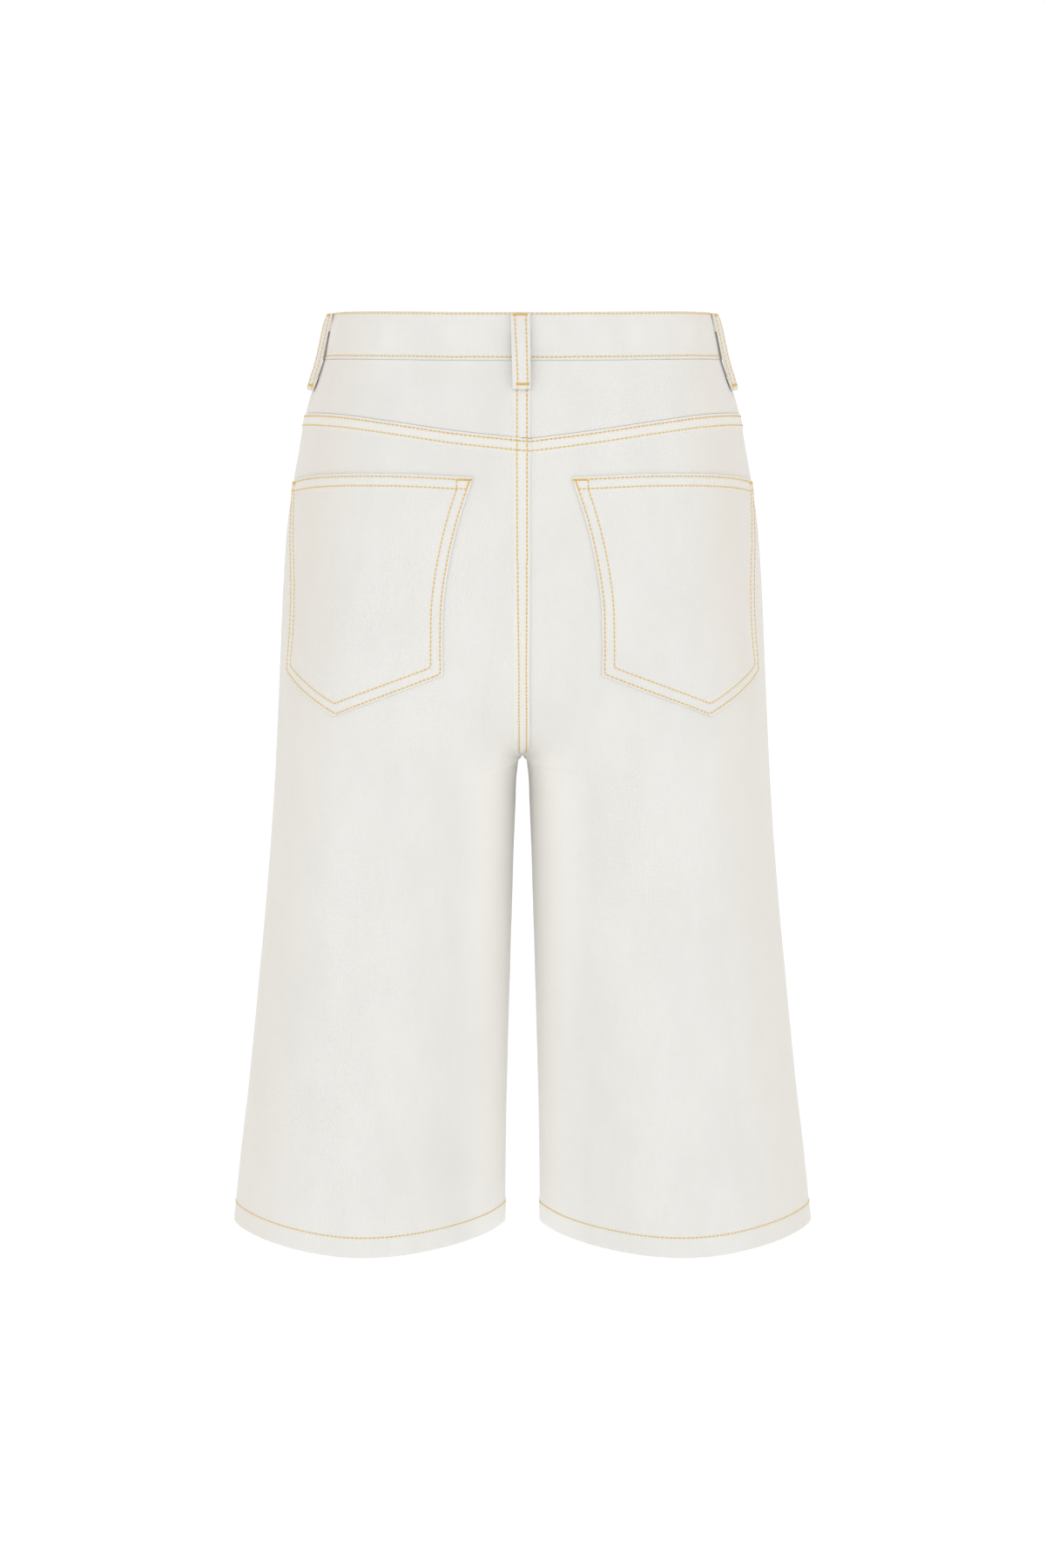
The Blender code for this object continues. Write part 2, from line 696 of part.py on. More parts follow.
def build():
    """Make every piece of the garment."""
    clear_scene()
    denim = material("ecru_denim", (0.80, 0.79, 0.75), 0.85)
    brass = material("brushed_brass", (0.66, 0.50, 0.26), 0.38, 1.0)
    tape = material("zip_tape", (0.74, 0.72, 0.66), 0.75)
    for side, half in (("left", 1), ("right", -1)):
        yoke(f"yoke_{side}", half, denim)
        back_panel(f"back_{side}", half, denim)
        front_panel(f"front_{side}", half, denim)
        pocket(f"pocket_{side}", half, denim)
        belt_loop(f"loop_side_{side}", half, SIDE_LOOP_SHARE, 0.0, denim)
        belt_loop(f"loop_front_{side}", half, FRONT_LOOP_SHARE, 0.0, denim)
    belt_loop("loop_back", 1, BACK_LOOP_SHARE, BACK_LOOP_LEAN, denim)
    band = waistband("waistband", denim)
    cut_buttonhole(band, denim)
    fly_shield("fly_shield", denim)
    fly_zip("fly_zip", tape)
    zip_slider("zip_slider", brass)
    waist_button("waist_button", brass)


build()
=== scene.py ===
"""Dressed model of the knee-length jean capris: cloth shells with their seams and soft creases,
golden topstitching and bar tacks, belt loops, fly, zip and waist button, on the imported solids.

The wearer faces -Y, so the pockets face +Y and +X is the wearer's left. A place on the cloth is a
nominal height and a girth: the distance round the body from the centre back, or from the inseam
below the crotch. Shapes are worked out in millimetres and scaled when a mesh is made.
"""
import math

import bmesh
import bpy
import numpy as np
from mathutils import Matrix, Vector


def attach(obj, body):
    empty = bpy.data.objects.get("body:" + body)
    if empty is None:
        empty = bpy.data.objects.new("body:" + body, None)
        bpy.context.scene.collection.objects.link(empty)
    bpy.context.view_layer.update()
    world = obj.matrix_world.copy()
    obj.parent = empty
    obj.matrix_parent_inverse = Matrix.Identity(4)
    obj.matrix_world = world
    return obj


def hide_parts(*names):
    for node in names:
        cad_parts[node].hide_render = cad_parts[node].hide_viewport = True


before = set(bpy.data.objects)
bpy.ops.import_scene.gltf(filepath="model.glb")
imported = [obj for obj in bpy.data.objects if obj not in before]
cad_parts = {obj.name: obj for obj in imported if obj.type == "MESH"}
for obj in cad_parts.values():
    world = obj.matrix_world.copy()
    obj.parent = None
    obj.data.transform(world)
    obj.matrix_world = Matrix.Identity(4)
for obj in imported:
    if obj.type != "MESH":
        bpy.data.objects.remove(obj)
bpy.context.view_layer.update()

MM = 0.001


def table(columns, *rows):
    """Columns of numbers by name, from one row for each place."""
    return dict(zip(columns.split(), np.array(rows, float).T))


# ---- sizes shared with the solids, in millimetres ----

BAND_HEIGHT = 35.0
WAIST_TOP = BAND_HEIGHT / 2
WAIST_SEAM = -BAND_HEIGHT / 2
SEAT_START = -150.0
CROTCH_HEIGHT = -321.0
HEM_HEIGHT = -687.0
HEM_TURN = 17.0
CROTCH_REACH_BACK = 108.0
CROTCH_REACH_FRONT = 92.0
CROTCH_RISE = 92.0
CROTCH_ROUNDING = 14.0
FRONT_DIP = 20.0
DIP_END = -190.0
SIDE_SEAM_ANGLE = 97.0
BACK_SETTLED = -160.0
CLOTH = 1.2
BAND_CLOTH = 2.4
BAND_PROUD = 0.4
SEAM_GAP = 0.3
YOKE_POINT = 4.5

BODY = table(
    "height half_width back front squareness flatness",
    (-700, 225.0, 111, 107, 2.00, 0.60),
    (-645, 219.5, 111, 107, 2.00, 0.54),
    (-580, 211.5, 111, 107, 2.02, 0.45),
    (-500, 203.0, 111, 107, 2.05, 0.32),
    (-420, 195.0, 112, 107, 2.09, 0.18),
    (-350, 189.5, 115, 107, 2.13, 0.08),
    (-290, 186.0, 119, 105, 2.18, 0.02),
    (-240, 183.5, 122, 103, 2.22, 0.00),
    (-190, 181.0, 122, 100, 2.24, 0.00),
    (-140, 177.0, 119, 97, 2.24, 0.00),
    (-90, 169.0, 113, 94, 2.22, 0.00),
    (-50, 161.0, 108, 92, 2.18, 0.00),
    (-18, 150.0, 103, 90, 2.15, 0.00),
    (20, 142.0, 98, 87, 2.12, 0.00),
)
GAP = table(
    "below half_gap hollow",
    (0, 0.15, 0.0),
    (1, 1.6, 1.4),
    (3, 2.6, 2.3),
    (10, 3.9, 3.4),
    (40, 5.6, 4.0),
    (110, 8.0, 3.8),
    (200, 10.6, 3.1),
    (280, 12.6, 2.2),
    (379, 13.6, 0.0),
)
YOKE_SEAM = table(
    "girth height",
    (0, -73.5),
    (50, -68.0),
    (100, -61.8),
    (140, -58.2),
    (170, -57.5),
    (220, -58.5),
)
YOKE_TOP = YOKE_SEAM["height"][0]
POCKET_TOP = table("girth height", (35, -101.5), (100, -100.0), (160, -103.0), (213, -110.0))
POCKET_SIDES = table(
    "height inner outer",
    (-280, 60.5, 210),
    (-245, 59.4, 206),
    (-220, 58.3, 201),
    (-190, 56.8, 200),
    (-165, 53.2, 203),
    (-138, 47.2, 207),
    (-100, 35.0, 213),
)
POCKET_CORNER_INNER = (59.4, -245.5)
POCKET_POINT = (145.0, -278.0)
POCKET_CORNER_OUTER = (206.0, -251.0)

LOOP_CLOTH = 1.2
LOOP_PATH = table(
    "off height",
    (1.5, 3.0),
    (1.5, 9.0),
    (1.7, 13.5),
    (2.5, 15.9),
    (3.4, 14.6),
    (4.3, 9.5),
    (5.2, 3.0),
    (6.2, -5.0),
    (6.8, -12.0),
    (6.8, -17.5),
    (6.3, -22.0),
    (6.2, -27.0),
    (5.7, -32.0),
    (4.6, -36.4),
    (3.2, -38.0),
    (2.0, -36.2),
    (1.3, -32.0),
    (1.0, -27.5),
)
# Half of the body, share of the girth, lean of the foot, and 1 for a loop that lies close.
LOOP_SPOTS = {
    "loop_back": (1, 0.004, -0.6, 0.0),
    "loop_side_left": (1, 0.468, 0.0, 1.0),
    "loop_side_right": (-1, 0.468, 0.0, 1.0),
    "loop_front_left": (1, 0.835, 0.0, 0.0),
    "loop_front_right": (-1, 0.835, 0.0, 0.0),
}

FLY_END = -185.0
FLY_STEP = 1.5
FLY_STEP_WIDTH = 22.0
FLY_STEP_RAMP = 25.0
BAND_STEP = BAND_CLOTH + SEAM_GAP
BAND_STEP_WIDTH = 30.0
UNDERLAP = 36.0
BUTTON_FROM_MIDDLE = 15.0
BUTTON_RADIUS = 8.5
TACK_CAP_RADIUS = 4.6
HOLE_RADIUS = 4.2
SLIT_LENGTH = 13.0
SHIELD_RIGHT = 14.0
SHIELD_LEFT = 34.0
SHIELD_SINK_RIGHT = 3.0
SHIELD_SINK_LEFT = 4.7
SHIELD_SINK_FROM = -6.0
SHIELD_SINK_WIDTH = 8.0
ZIP_SINK = 1.5
ZIP_TAPE = 0.8
ZIP_CORD = 1.2
ZIP_MIDDLE = 5.9
ZIP_TOP = -29.0
SLIDER_MIDDLE = ZIP_TOP + 4.8
PULLER_MIDDLE = ZIP_TOP + 5.0
TOOTH_PITCH = 0.78

# ---- sewing ----

FELL = 0.75                 # how far a lapped seam stands up
LAP_BACK = 5.6              # how far the left back laps past the centre
LAP_FRONT = 4.0             # how far the left front laps past the centre
ROW_LEFT = 3.9              # rows of the centre-back seam, left and right of the middle
ROW_RIGHT = 3.1
EDGE_ROW = 2.3              # first row of stitches from an edge
ROW_GAUGE = 6.8             # second row from the first
HEM_ROW = 15.6              # hem stitches above the edge
BAND_TOP_ROW = 1.5          # band stitches from the folded edges
BAND_LOW_ROW = 2.5
STITCH_PITCH = 3.3
STITCH_LENGTH = 2.85
THREAD = 0.47               # radius of the topstitching thread
FINE_THREAD = 0.27          # radius of the threads of a bar tack
TACK_PITCH = 0.42           # between the threads of a bar tack
THREAD_STATIONS = (0.0, 0.1, 0.5, 0.9, 1.0)
THREAD_LIFT = (-0.32, 0.04, 0.2, 0.04, -0.32)
THREAD_THICKNESS = (0.4, 0.92, 1.05, 0.92, 0.4)
THREAD_SIDES = 6
LOOP_TACKS = (14.3, 64.6)   # bar tacks of a belt loop, along its path
LOOP_TURN = 0.21            # slope across a close belt loop
LOOP_DROP = 3.0             # how much lower a close loop's foot lies
SINK = 0.22                 # how deep a row of stitches pulls the cloth in
SINK_WIDTH = 0.95
PUCKER_PITCH = 8.5          # puckers along a row of stitches
ROPE_PITCH = 13.0           # slanting ropes of a hem's fold
SEAM_RIDGE = 6.0            # soft ridge beside a pressed-open seam, from the seam
POCKET_FOLD = 9.5           # turned edges of a pocket
POCKET_HEM = 9.8            # hem of its opening
FRONT_ROW = EDGE_ROW - LAP_FRONT
POCKET_ROW = 2.0
LOOP_FOLD = 13.5            # from a loop's tucked end to its upper fold
FLY_ROW = 37.0              # outer row of the fly stitching from the middle
FLY_TURN = -148.0           # where it starts to turn in to the fly's end

RING_SAMPLES = 160
EDGE_BULGE = 0.8            # how far a rounded edge stands out, as a share of half its thickness
SIDE_INSET = 0.5            # what the edges of a shell's grid leave for the rounding


# ---- body surface, as in the solids ----

def smooth(knots, values, where):
    """Read a smooth curve through the knots, whose slopes come from the neighbouring knots."""
    slopes = np.gradient(values, knots)
    i = np.clip(np.searchsorted(knots, where) - 1, 0, len(knots) - 2)
    step = knots[i + 1] - knots[i]
    t = np.clip((where - knots[i]) / step, 0.0, 1.0)
    start = (1 + 2 * t) * (1 - t) ** 2 * values[i] + t * (1 - t) ** 2 * step * slopes[i]
    end = t * t * (3 - 2 * t) * values[i + 1] - t * t * (1 - t) * step * slopes[i + 1]
    return start + end


def ease(t):
    """Rise smoothly from 0 to 1 as t goes from 0 to 1."""
    t = np.clip(t, 0.0, 1.0)
    return t * t * (3 - 2 * t)


def read(rows, name, where):
    """Read the named column of a table at values of its first column."""
    return smooth(next(iter(rows.values())), rows[name], where)


def pair(height, girth):
    """Heights and girths as arrays of one shape."""
    return np.broadcast_arrays(np.asarray(height, float), np.asarray(girth, float))


def neighbours(values, i):
    """The values at a station and at the next one."""
    return [np.take_along_axis(values, i + k, -1)[..., 0] for k in (0, 1)]


def sided(half):
    """Factors that put a point of the left half on a half."""
    return np.stack([half, 0 * half + 1, 0 * half + 1], axis=-1)


def soft_max(a, b, rounding):
    """The larger of a and b, with the change from one to the other rounded."""
    rounding = np.maximum(rounding, 1e-6)
    share = np.clip(0.5 + 0.5 * (a - b) / rounding, 0.0, 1.0)
    return b + (a - b) * share + rounding * share * (1 - share)


def section(height):
    """Centre and half width of the left half's section at each height."""
    half_width = read(BODY, "half_width", height)
    below = CROTCH_HEIGHT - height
    gap = read(GAP, "half_gap", below) - read(GAP, "hollow", below)
    shift = 1 - ease((height - CROTCH_HEIGHT) / (SEAT_START - CROTCH_HEIGHT))
    inner = gap - half_width * (1 - shift) / (1 + shift)
    return (half_width + inner) / 2, (half_width - inner) / 2


def on_body(height, angle, off=0.0):
    """Point at an angle round a section: -90 is the inner edge, 0 the back, 90 the side."""
    centre, radius = section(height)
    power = 2 / read(BODY, "squareness", height)
    flat = read(BODY, "flatness", height)
    sine = np.sin(np.radians(angle))
    cosine = np.cos(np.radians(angle))
    is_back = cosine > 0
    back = read(BODY, "back", height)
    front = read(BODY, "front", height)
    depth = np.where(is_back, back, front) * (1 - flat + flat * np.abs(cosine))
    y = depth * np.abs(cosine) ** power
    rise = np.clip((height - CROTCH_HEIGHT) / CROTCH_RISE, 0.0, 1.0)
    reach = np.where(is_back, CROTCH_REACH_BACK, CROTCH_REACH_FRONT) * ease(-sine / 0.3)
    seam = reach * np.sqrt(1 - (1 - rise) ** 2)
    y = soft_max(y, seam, np.minimum(CROTCH_ROUNDING, 0.6 * seam))
    hollow = read(GAP, "hollow", CROTCH_HEIGHT - height) * ease((-sine - 0.5) / 0.5)
    x = centre + radius * np.sign(sine) * np.abs(sine) ** power + hollow
    turned = (1 - np.cos(np.radians(np.clip(angle, 0.0, 180.0)))) / 2
    dip = FRONT_DIP * turned ** 2 * ease((height - DIP_END) / -DIP_END)
    point = np.stack(np.broadcast_arrays(x, np.where(is_back, y, -y), height - dip), axis=-1)
    if np.any(off):
        point = point + np.asarray(off)[..., None] * outward(height, angle)
    return point


def outward(height, angle):
    """Unit normal of the body surface."""
    up = np.where(height > CROTCH_HEIGHT, 0.5, 0.0)
    turn = on_body(height, angle + 0.5) - on_body(height, angle - 0.5)
    rise = on_body(height + up, angle) - on_body(height - 0.5, angle)
    normal = np.cross(rise, turn)
    return normal / np.linalg.norm(normal, axis=-1, keepdims=True)


def start_angle(height):
    """Angle where the section leaves the seam plane at the back."""
    centre, radius = section(height)
    power = 2 / read(BODY, "squareness", height)
    ratio = np.clip((centre - SEAM_GAP / 2) / radius, 0.0, 1.0)
    return -np.degrees(np.arcsin(ratio ** (1 / power)))


def ring(height):
    """Angles and running girths round each height's section, from the back to the front."""
    levels, index = np.unique(height, return_inverse=True)
    first = start_angle(levels)[:, None]
    angle = first + np.linspace(0.0, 1.0, RING_SAMPLES) * (180 - 2 * first)
    points = on_body(levels[:, None], angle)[..., :2]
    steps = np.linalg.norm(np.diff(points, axis=-2), axis=-1)
    girth = np.concatenate([np.zeros((len(levels), 1)), np.cumsum(steps, axis=-1)], axis=-1)
    index = index.reshape(np.shape(height))
    return angle[index], girth[index]


def angle_at(height, girth):
    """Angle at a girth round each height's section; past either end it runs straight on."""
    height, girth = pair(height, girth)
    angles, girths = ring(height)
    i = np.clip((girths < girth[..., None]).sum(axis=-1) - 1, 0, RING_SAMPLES - 2)[..., None]
    a0, a1 = neighbours(angles, i)
    g0, g1 = neighbours(girths, i)
    return a0 + (a1 - a0) * (girth - g0) / (g1 - g0)


def girth_at(height, angle):
    """Girth at an angle round each height's section."""
    height, angle = pair(height, angle)
    angles, girths = ring(height)
    share = (angle - angles[..., 0]) / (angles[..., -1] - angles[..., 0]) * (RING_SAMPLES - 1)
    i = np.clip(share.astype(int), 0, RING_SAMPLES - 2)[..., None]
    g0, g1 = neighbours(girths, i)
    return g0 + (g1 - g0) * (share - i[..., 0])


def side_girth(height):
    """Girth of the side seam at each height."""
    return girth_at(height, SIDE_SEAM_ANGLE)


def full_girth(height):
    """Girth from the centre back, or the inseam, round to the centre front."""
    return ring(np.asarray(height, float))[1][..., -1]


def yoke_height(girth, half):
    """Height of the yoke seam, whose lowest point lies at the lapped edge of the centre seam."""
    shift = YOKE_POINT * (1 - ease(np.abs(girth) / 60))
    return read(YOKE_SEAM, "height", np.abs(girth + half * shift))


def place(height, girth, half, off=0.0):
    """Point and outward direction on one half; past the middle seams it lies on the other half."""
    height, girth = pair(height, girth)
    end = full_girth(height)
    folded = np.where(girth > end, 2 * end - girth, np.abs(girth))
    crossed = (girth > end) | (girth < 0)
    angle = angle_at(height, folded)
    normal = outward(height, angle)
    point = on_body(height, angle) + np.asarray(off)[..., None] * normal
    side = sided(np.where(crossed, -half, half))
    return point * side, normal * side


# ---- relief: how far the cloth stands off the body surface ----

# Soft troughs and ridges of each half: the height of the middle, its distance from
# the side seam (negative on the back), length, width, how many degrees its top leans towards the
# centre back, and how far it stands out (negative for a trough).
CREASES = {
    1: (
        (-38, -107, 60, 17, 4, -0.9),
        (-45, -165, 60, 20, -10, 0.5),
        (-44, -50, 70, 15, 6, -0.7),
        (-120, -150, 120, 16, 8, -0.8),
        (-190, -184, 160, 15, -5, 0.9),
        (-200, -120, 120, 22, 6, -0.9),
        (-262, -258, 110, 12, -7, -1.2),
        (-318, -226, 110, 16, -50, -0.7),
        (-352, -190, 130, 26, -68, -0.5),
        (-430, -262, 230, 24, 4, 1.2),
        (-480, -200, 260, 26, -3, -1.6),
        (-560, -150, 250, 24, -5, 1.5),
        (-520, -95, 260, 20, -4, -1.1),
        (-600, -235, 190, 22, 3, -1.1),
        (-625, -285, 150, 17, -2, 0.9),
        (-450, -40, 240, 24, 3, 0.9),
        (-70, 95, 70, 15, -20, -0.8),
        (-215, 168, 90, 13, 52, -1.4),
        (-245, 160, 110, 17, 60, -1.1),
        (-285, 150, 120, 22, 72, -0.8),
        (-420, 90, 240, 26, 3, 1.2),
        (-490, 150, 260, 24, -4, -1.5),
        (-580, 215, 200, 22, 4, -1.1),
        (-600, 120, 220, 22, -3, 1.1),
        (-520, 255, 200, 20, 4, 0.9),
    ),
    -1: (
        (-40, -113, 56, 18, 2, -0.8),
        (-44, -160, 66, 19, -6, 0.5),
        (-46, -52, 64, 16, 8, -0.7),
        (-126, -146, 110, 17, 5, -0.7),
        (-184, -186, 150, 15, -6, 1.0),
        (-208, -128, 130, 20, 9, -1.0),
        (-258, -255, 100, 12, -9, -1.1),
        (-322, -220, 100, 15, -46, -0.8),
        (-348, -196, 120, 25, -64, -0.5),
        (-420, -256, 220, 26, 2, 1.3),
        (-488, -206, 240, 24, -4, -1.5),
        (-552, -142, 260, 23, -3, 1.4),
        (-535, -90, 240, 19, -6, -1.2),
        (-610, -228, 180, 24, 5, -1.0),
        (-618, -280, 160, 16, -3, 0.8),
        (-440, -46, 230, 23, 4, 0.8),
        (-76, 88, 80, 16, -16, -0.7),
        (-220, 164, 80, 14, 48, -1.3),
        (-250, 156, 100, 16, 64, -1.0),
        (-280, 146, 130, 23, 70, -0.9),
        (-430, 96, 220, 25, 5, 1.1),
        (-500, 156, 250, 25, -3, -1.4),
        (-590, 208, 210, 21, 3, -1.1),
        (-610, 112, 200, 23, -5, 1.0),
        (-510, 250, 210, 21, 3, 0.8),
    ),
}


def bell(distance, width):
    """Soft hump of height 1 that fades over a width."""
    return np.exp(-(distance / width) ** 2)


def wander(along, seed):
    """Slow uneven wave between about -1 and 1 along a length."""
    waves = ((61.0, 0.5), (37.0, 0.32), (23.0, 0.24))
    return sum(size * np.sin(along / length * 2 * math.pi + seed * (3.1 + k))
               for k, (length, size) in enumerate(waves))


def drape(height, girth, half):
    """Soft creases of the cloth on one half, fading at the middle seams and the waist."""
    height, girth = pair(height, girth)
    from_side = girth - side_girth(height)
    total = np.zeros(height.shape)
    for number, (level, offset, length, width, turn, depth) in enumerate(CREASES[half]):
        cosine, sine = math.cos(math.radians(turn)), math.sin(math.radians(turn))
        up = height - level
        aside = from_side - offset
        along = up * cosine - aside * sine
        across = up * sine + aside * cosine + 0.12 * width * wander(along, number)
        along = along * (1.0 + 0.25 * np.tanh(along / (length / 2)))
        total = total + depth * bell(across, width) * bell(along, length / 2)
    from_middle = np.abs(place(height, girth, half)[0][..., 0])
    return total * ease(from_middle / 16) * ease((WAIST_SEAM - height) / 14)


def row_relief(distance, along, seed=0.0):
    """Groove and small puckers that a row of stitches draws into the cloth."""
    pucker = 0.09 * np.sin(along * 2 * math.pi / (PUCKER_PITCH + seed)) * (1 + wander(along, seed))
    return -SINK * bell(distance, SINK_WIDTH) + pucker * bell(distance, 3.2)


def raised(distance, width, ramp=2.5, height=FELL):
    """Extra thickness of a lapped seam, from its edge over a width, then sloping away."""
    return height * (1 - ease((distance - width) / ramp))


def centre_fade(height):
    """1 on the centre seams, fading out where they meet at the crotch."""
    return ease((height - CROTCH_HEIGHT - 1.5) / 9.0)


def lap(height):
    """1 where a centre seam is lapped, fading out just above the crotch."""
    return ease((height - CROTCH_HEIGHT - 4.0) / 10.0)


def fly(height):
    """1 along the fly, fading out at its end."""
    return ease((height - FLY_END) / FLY_STEP_RAMP)


def centre_rows(height):
    """Where the two rows beside the centre-back seam run, towards the left and the right."""
    down = ease((height - YOKE_TOP) / (CROTCH_HEIGHT - YOKE_TOP))
    return ROW_LEFT - 1.5 * down, -ROW_RIGHT + 0.3 * down


def centre_back_relief(height, girth, half):
    """Relief of the centre-back seam, whose left side laps the right."""
    if half < 0:
        return -SINK * bell(girth - LAP_BACK - 0.9, 1.5) * centre_fade(height)
    left, right = centre_rows(height)
    rows = row_relief(girth - left, height, 0.4) + row_relief(girth - right, height, 0.9)
    return (raised(np.abs(girth), LAP_BACK) + rows) * centre_fade(height)


def seam_relief(height, girth):
    """Pressed-open side seam, and the inseam of the leg: a groove between two soft ridges."""
    side = girth - side_girth(height)
    inner = np.minimum(np.abs(girth), np.abs(full_girth(height) - girth))
    leg = ease((CROTCH_HEIGHT - 4 - height) / 10.0)
    total = 0.0
    for aside, share in ((side, 1.0), (inner, leg)):
        ridge = 0.22 * bell(np.abs(aside) - SEAM_RIDGE, 5.0) * (1 + 0.35 * wander(height, 0.7))
        total = total + share * (ridge - 0.35 * bell(aside, 1.3))
    return total


def hem_relief(height, girth):
    """Turned-up hem, with the slight roping of its fold."""
    up = height - HEM_HEIGHT
    rope = 0.07 * np.sin((girth + 0.9 * up) * 2 * math.pi / ROPE_PITCH) * (1 + wander(girth, 2.0))
    inside = 1 - ease((up - HEM_ROW) / 3.0)
    return inside * (0.3 + rope) + row_relief(up - HEM_ROW, girth, 1.7)


def back_relief(height, girth, half):
    """Relief of a back panel: centre seam, yoke seam, side seam, inseam and hem."""
    below_yoke = yoke_height(girth, half) - height
    centre = centre_back_relief(height, girth, half)
    yoke_fell = raised(below_yoke, EDGE_ROW + ROW_GAUGE + 1.2)
    yoke_fell = yoke_fell + row_relief(below_yoke - EDGE_ROW, girth, 0.2)
    yoke_fell = yoke_fell + row_relief(below_yoke - EDGE_ROW - ROW_GAUGE, girth, 1.3)
    seams = np.maximum(centre, yoke_fell) + np.minimum(centre, yoke_fell).clip(None, 0.3)
    return seams + hem_relief(height, girth) + seam_relief(height, girth)


def yoke_relief(height, girth, half):
    """Relief of a yoke: centre seam, side seam, and its two long edges."""
    above = height - yoke_height(girth, half)
    edges = -0.15 * bell(above, 2.0)
    return centre_back_relief(height, girth, half) + edges + seam_relief(height, girth)


def fly_step(from_middle, height):
    """How far the right front sinks beside the fly, so that the left front laps it."""
    return FLY_STEP * ease(1 - from_middle / FLY_STEP_WIDTH) * fly(height)


def fly_curve(inset):
    """Width and depth of the quarter round at the foot of a fly row."""
    return FLY_ROW - inset, FLY_TURN - FLY_END - inset


def fly_row_distance(from_middle, height, inset):
    """Distance of a place from a row of the fly stitching, which turns in to the fly's end."""
    wide, deep = fly_curve(inset)
    down = np.clip((FLY_TURN - height) / deep, 0.0, None)
    gap = (np.hypot(from_middle / wide, down) - 1) * min(wide, deep)
    return np.where(from_middle > -LAP_FRONT, gap, 9.0)


def front_relief(height, girth, half):
    """Relief of a front panel: fly, centre seam, side seam, inseam and hem."""
    from_middle = full_girth(height) - girth
    off = hem_relief(height, girth) + seam_relief(height, girth)
    if half < 0:
        return off - fly_step(from_middle, height)
    off = off + raised(from_middle, 5.0) * centre_fade(height) * (1 - 0.4 * fly(height))
    for row in (0.0, ROW_GAUGE):
        beside = row_relief(from_middle - FRONT_ROW - row, height, row)
        off = off + beside * centre_fade(height) * (1 - fly(height))
        off = off + row_relief(fly_row_distance(from_middle, height, row), height, row)
    return off


def pocket_top_girth(share):
    """Girth at a share of the way along the pocket's opening."""
    girth = POCKET_TOP["girth"]
    return girth[0] + share * (girth[-1] - girth[0])


def pocket_outline(samples=60):
    """The pocket's edges as five lines of (girth, height), in order round it."""
    along = np.linspace(0.0, 1.0, samples)
    girth = pocket_top_girth(along)
    top = np.stack([girth, read(POCKET_TOP, "height", girth)], axis=-1)
    sides = []
    for side, start, corner in (("inner", top[0], POCKET_CORNER_INNER),
                                ("outer", top[-1], POCKET_CORNER_OUTER)):
        height = start[1] + along * (corner[1] - start[1])
        edge = read(POCKET_SIDES, side, height)
        sides.append(np.stack([edge, height], axis=-1))
    point = np.array(POCKET_POINT)
    foot_in = sides[0][-1] + along[:, None] * (point - sides[0][-1])
    foot_out = point + along[:, None] * (sides[1][-1] - point)
    return [top[::-1], sides[0], foot_in, foot_out, sides[1][::-1]]


def crossing(other, line):
    """Where a line of points crosses another: how far along it, and the point."""
    p, r = line[:-1, None], np.diff(line, axis=0)[:, None]
    q, s = other[None, :-1], np.diff(other, axis=0)[None]
    spread = r[..., 0] * s[..., 1] - r[..., 1] * s[..., 0]
    spread = np.where(np.abs(spread) < 1e-9, 1e-9, spread)
    t = ((q - p)[..., 0] * s[..., 1] - (q - p)[..., 1] * s[..., 0]) / spread
    u = ((q - p)[..., 0] * r[..., 1] - (q - p)[..., 1] * r[..., 0]) / spread
    hit = tuple(np.argwhere((t >= 0) & (t <= 1) & (u >= 0) & (u <= 1))[0])
    return hit[0] + t[hit], line[hit[0]] + t[hit] * (line[hit[0] + 1] - line[hit[0]])


def inset_lines(lines, inset):
    """Lines moved to their left by an inset, each cut where it meets its neighbours."""
    moved = []
    for line in lines:
        step = np.gradient(line, axis=0)
        step /= np.linalg.norm(step, axis=-1, keepdims=True)
        line = line + inset * np.stack([-step[:, 1], step[:, 0]], axis=-1)
        moved.append(np.array([line[0] - 12 * step[0], *line, line[-1] + 12 * step[-1]]))
    cut = []
    for k, line in enumerate(moved):
        first, start = crossing(moved[k - 1], line)
        last, end = crossing(moved[(k + 1) % len(moved)], line)
        keep = [p for i, p in enumerate(line) if first < i < last]
        cut.append(np.array([start, *keep, end]))
    return cut


def distance_to(lines, girth, height):
    """Distance of each place from the nearest of some lines of (girth, height)."""
    places = np.stack([girth, height], axis=-1).reshape(-1, 1, 2)
    nearest = np.full(len(places), np.inf)
    for line in lines:
        start, step = line[:-1], np.diff(line, axis=0)
        along = ((places - start) * step).sum(-1) / (step ** 2).sum(-1)
        foot = start + np.clip(along, 0.0, 1.0)[..., None] * step
        nearest = np.minimum(nearest, np.linalg.norm(places - foot, axis=-1).min(-1))
    return nearest.reshape(np.shape(girth))


def pocket_relief(height, girth):
    """Relief of a patch pocket: hemmed opening, folded edges and two rows of stitches."""
    outline = pocket_outline()
    to_top = distance_to(outline[:1], girth, height)
    to_rest = distance_to(outline[1:], girth, height)
    to_edge = np.minimum(to_top, to_rest)
    folded = raised(to_rest, POCKET_FOLD, 2.5, 0.35)
    hem = raised(to_top, POCKET_HEM, 2.2, 0.55)
    off = np.maximum(folded, hem)
    for inset in (POCKET_ROW, POCKET_ROW + ROW_GAUGE):
        off = off + row_relief(to_edge - inset, girth - height, inset)
    return off


def pocket_lift(height, girth):
    """How far the pocket's flat outer side stands off the panel: most in its slack middle."""
    to_edge = distance_to(pocket_outline(), girth, height)
    return CLOTH + 0.1 + 0.5 * ease((to_edge - 8) / 20) + 0.7 * ease((to_edge - 12) / 40)


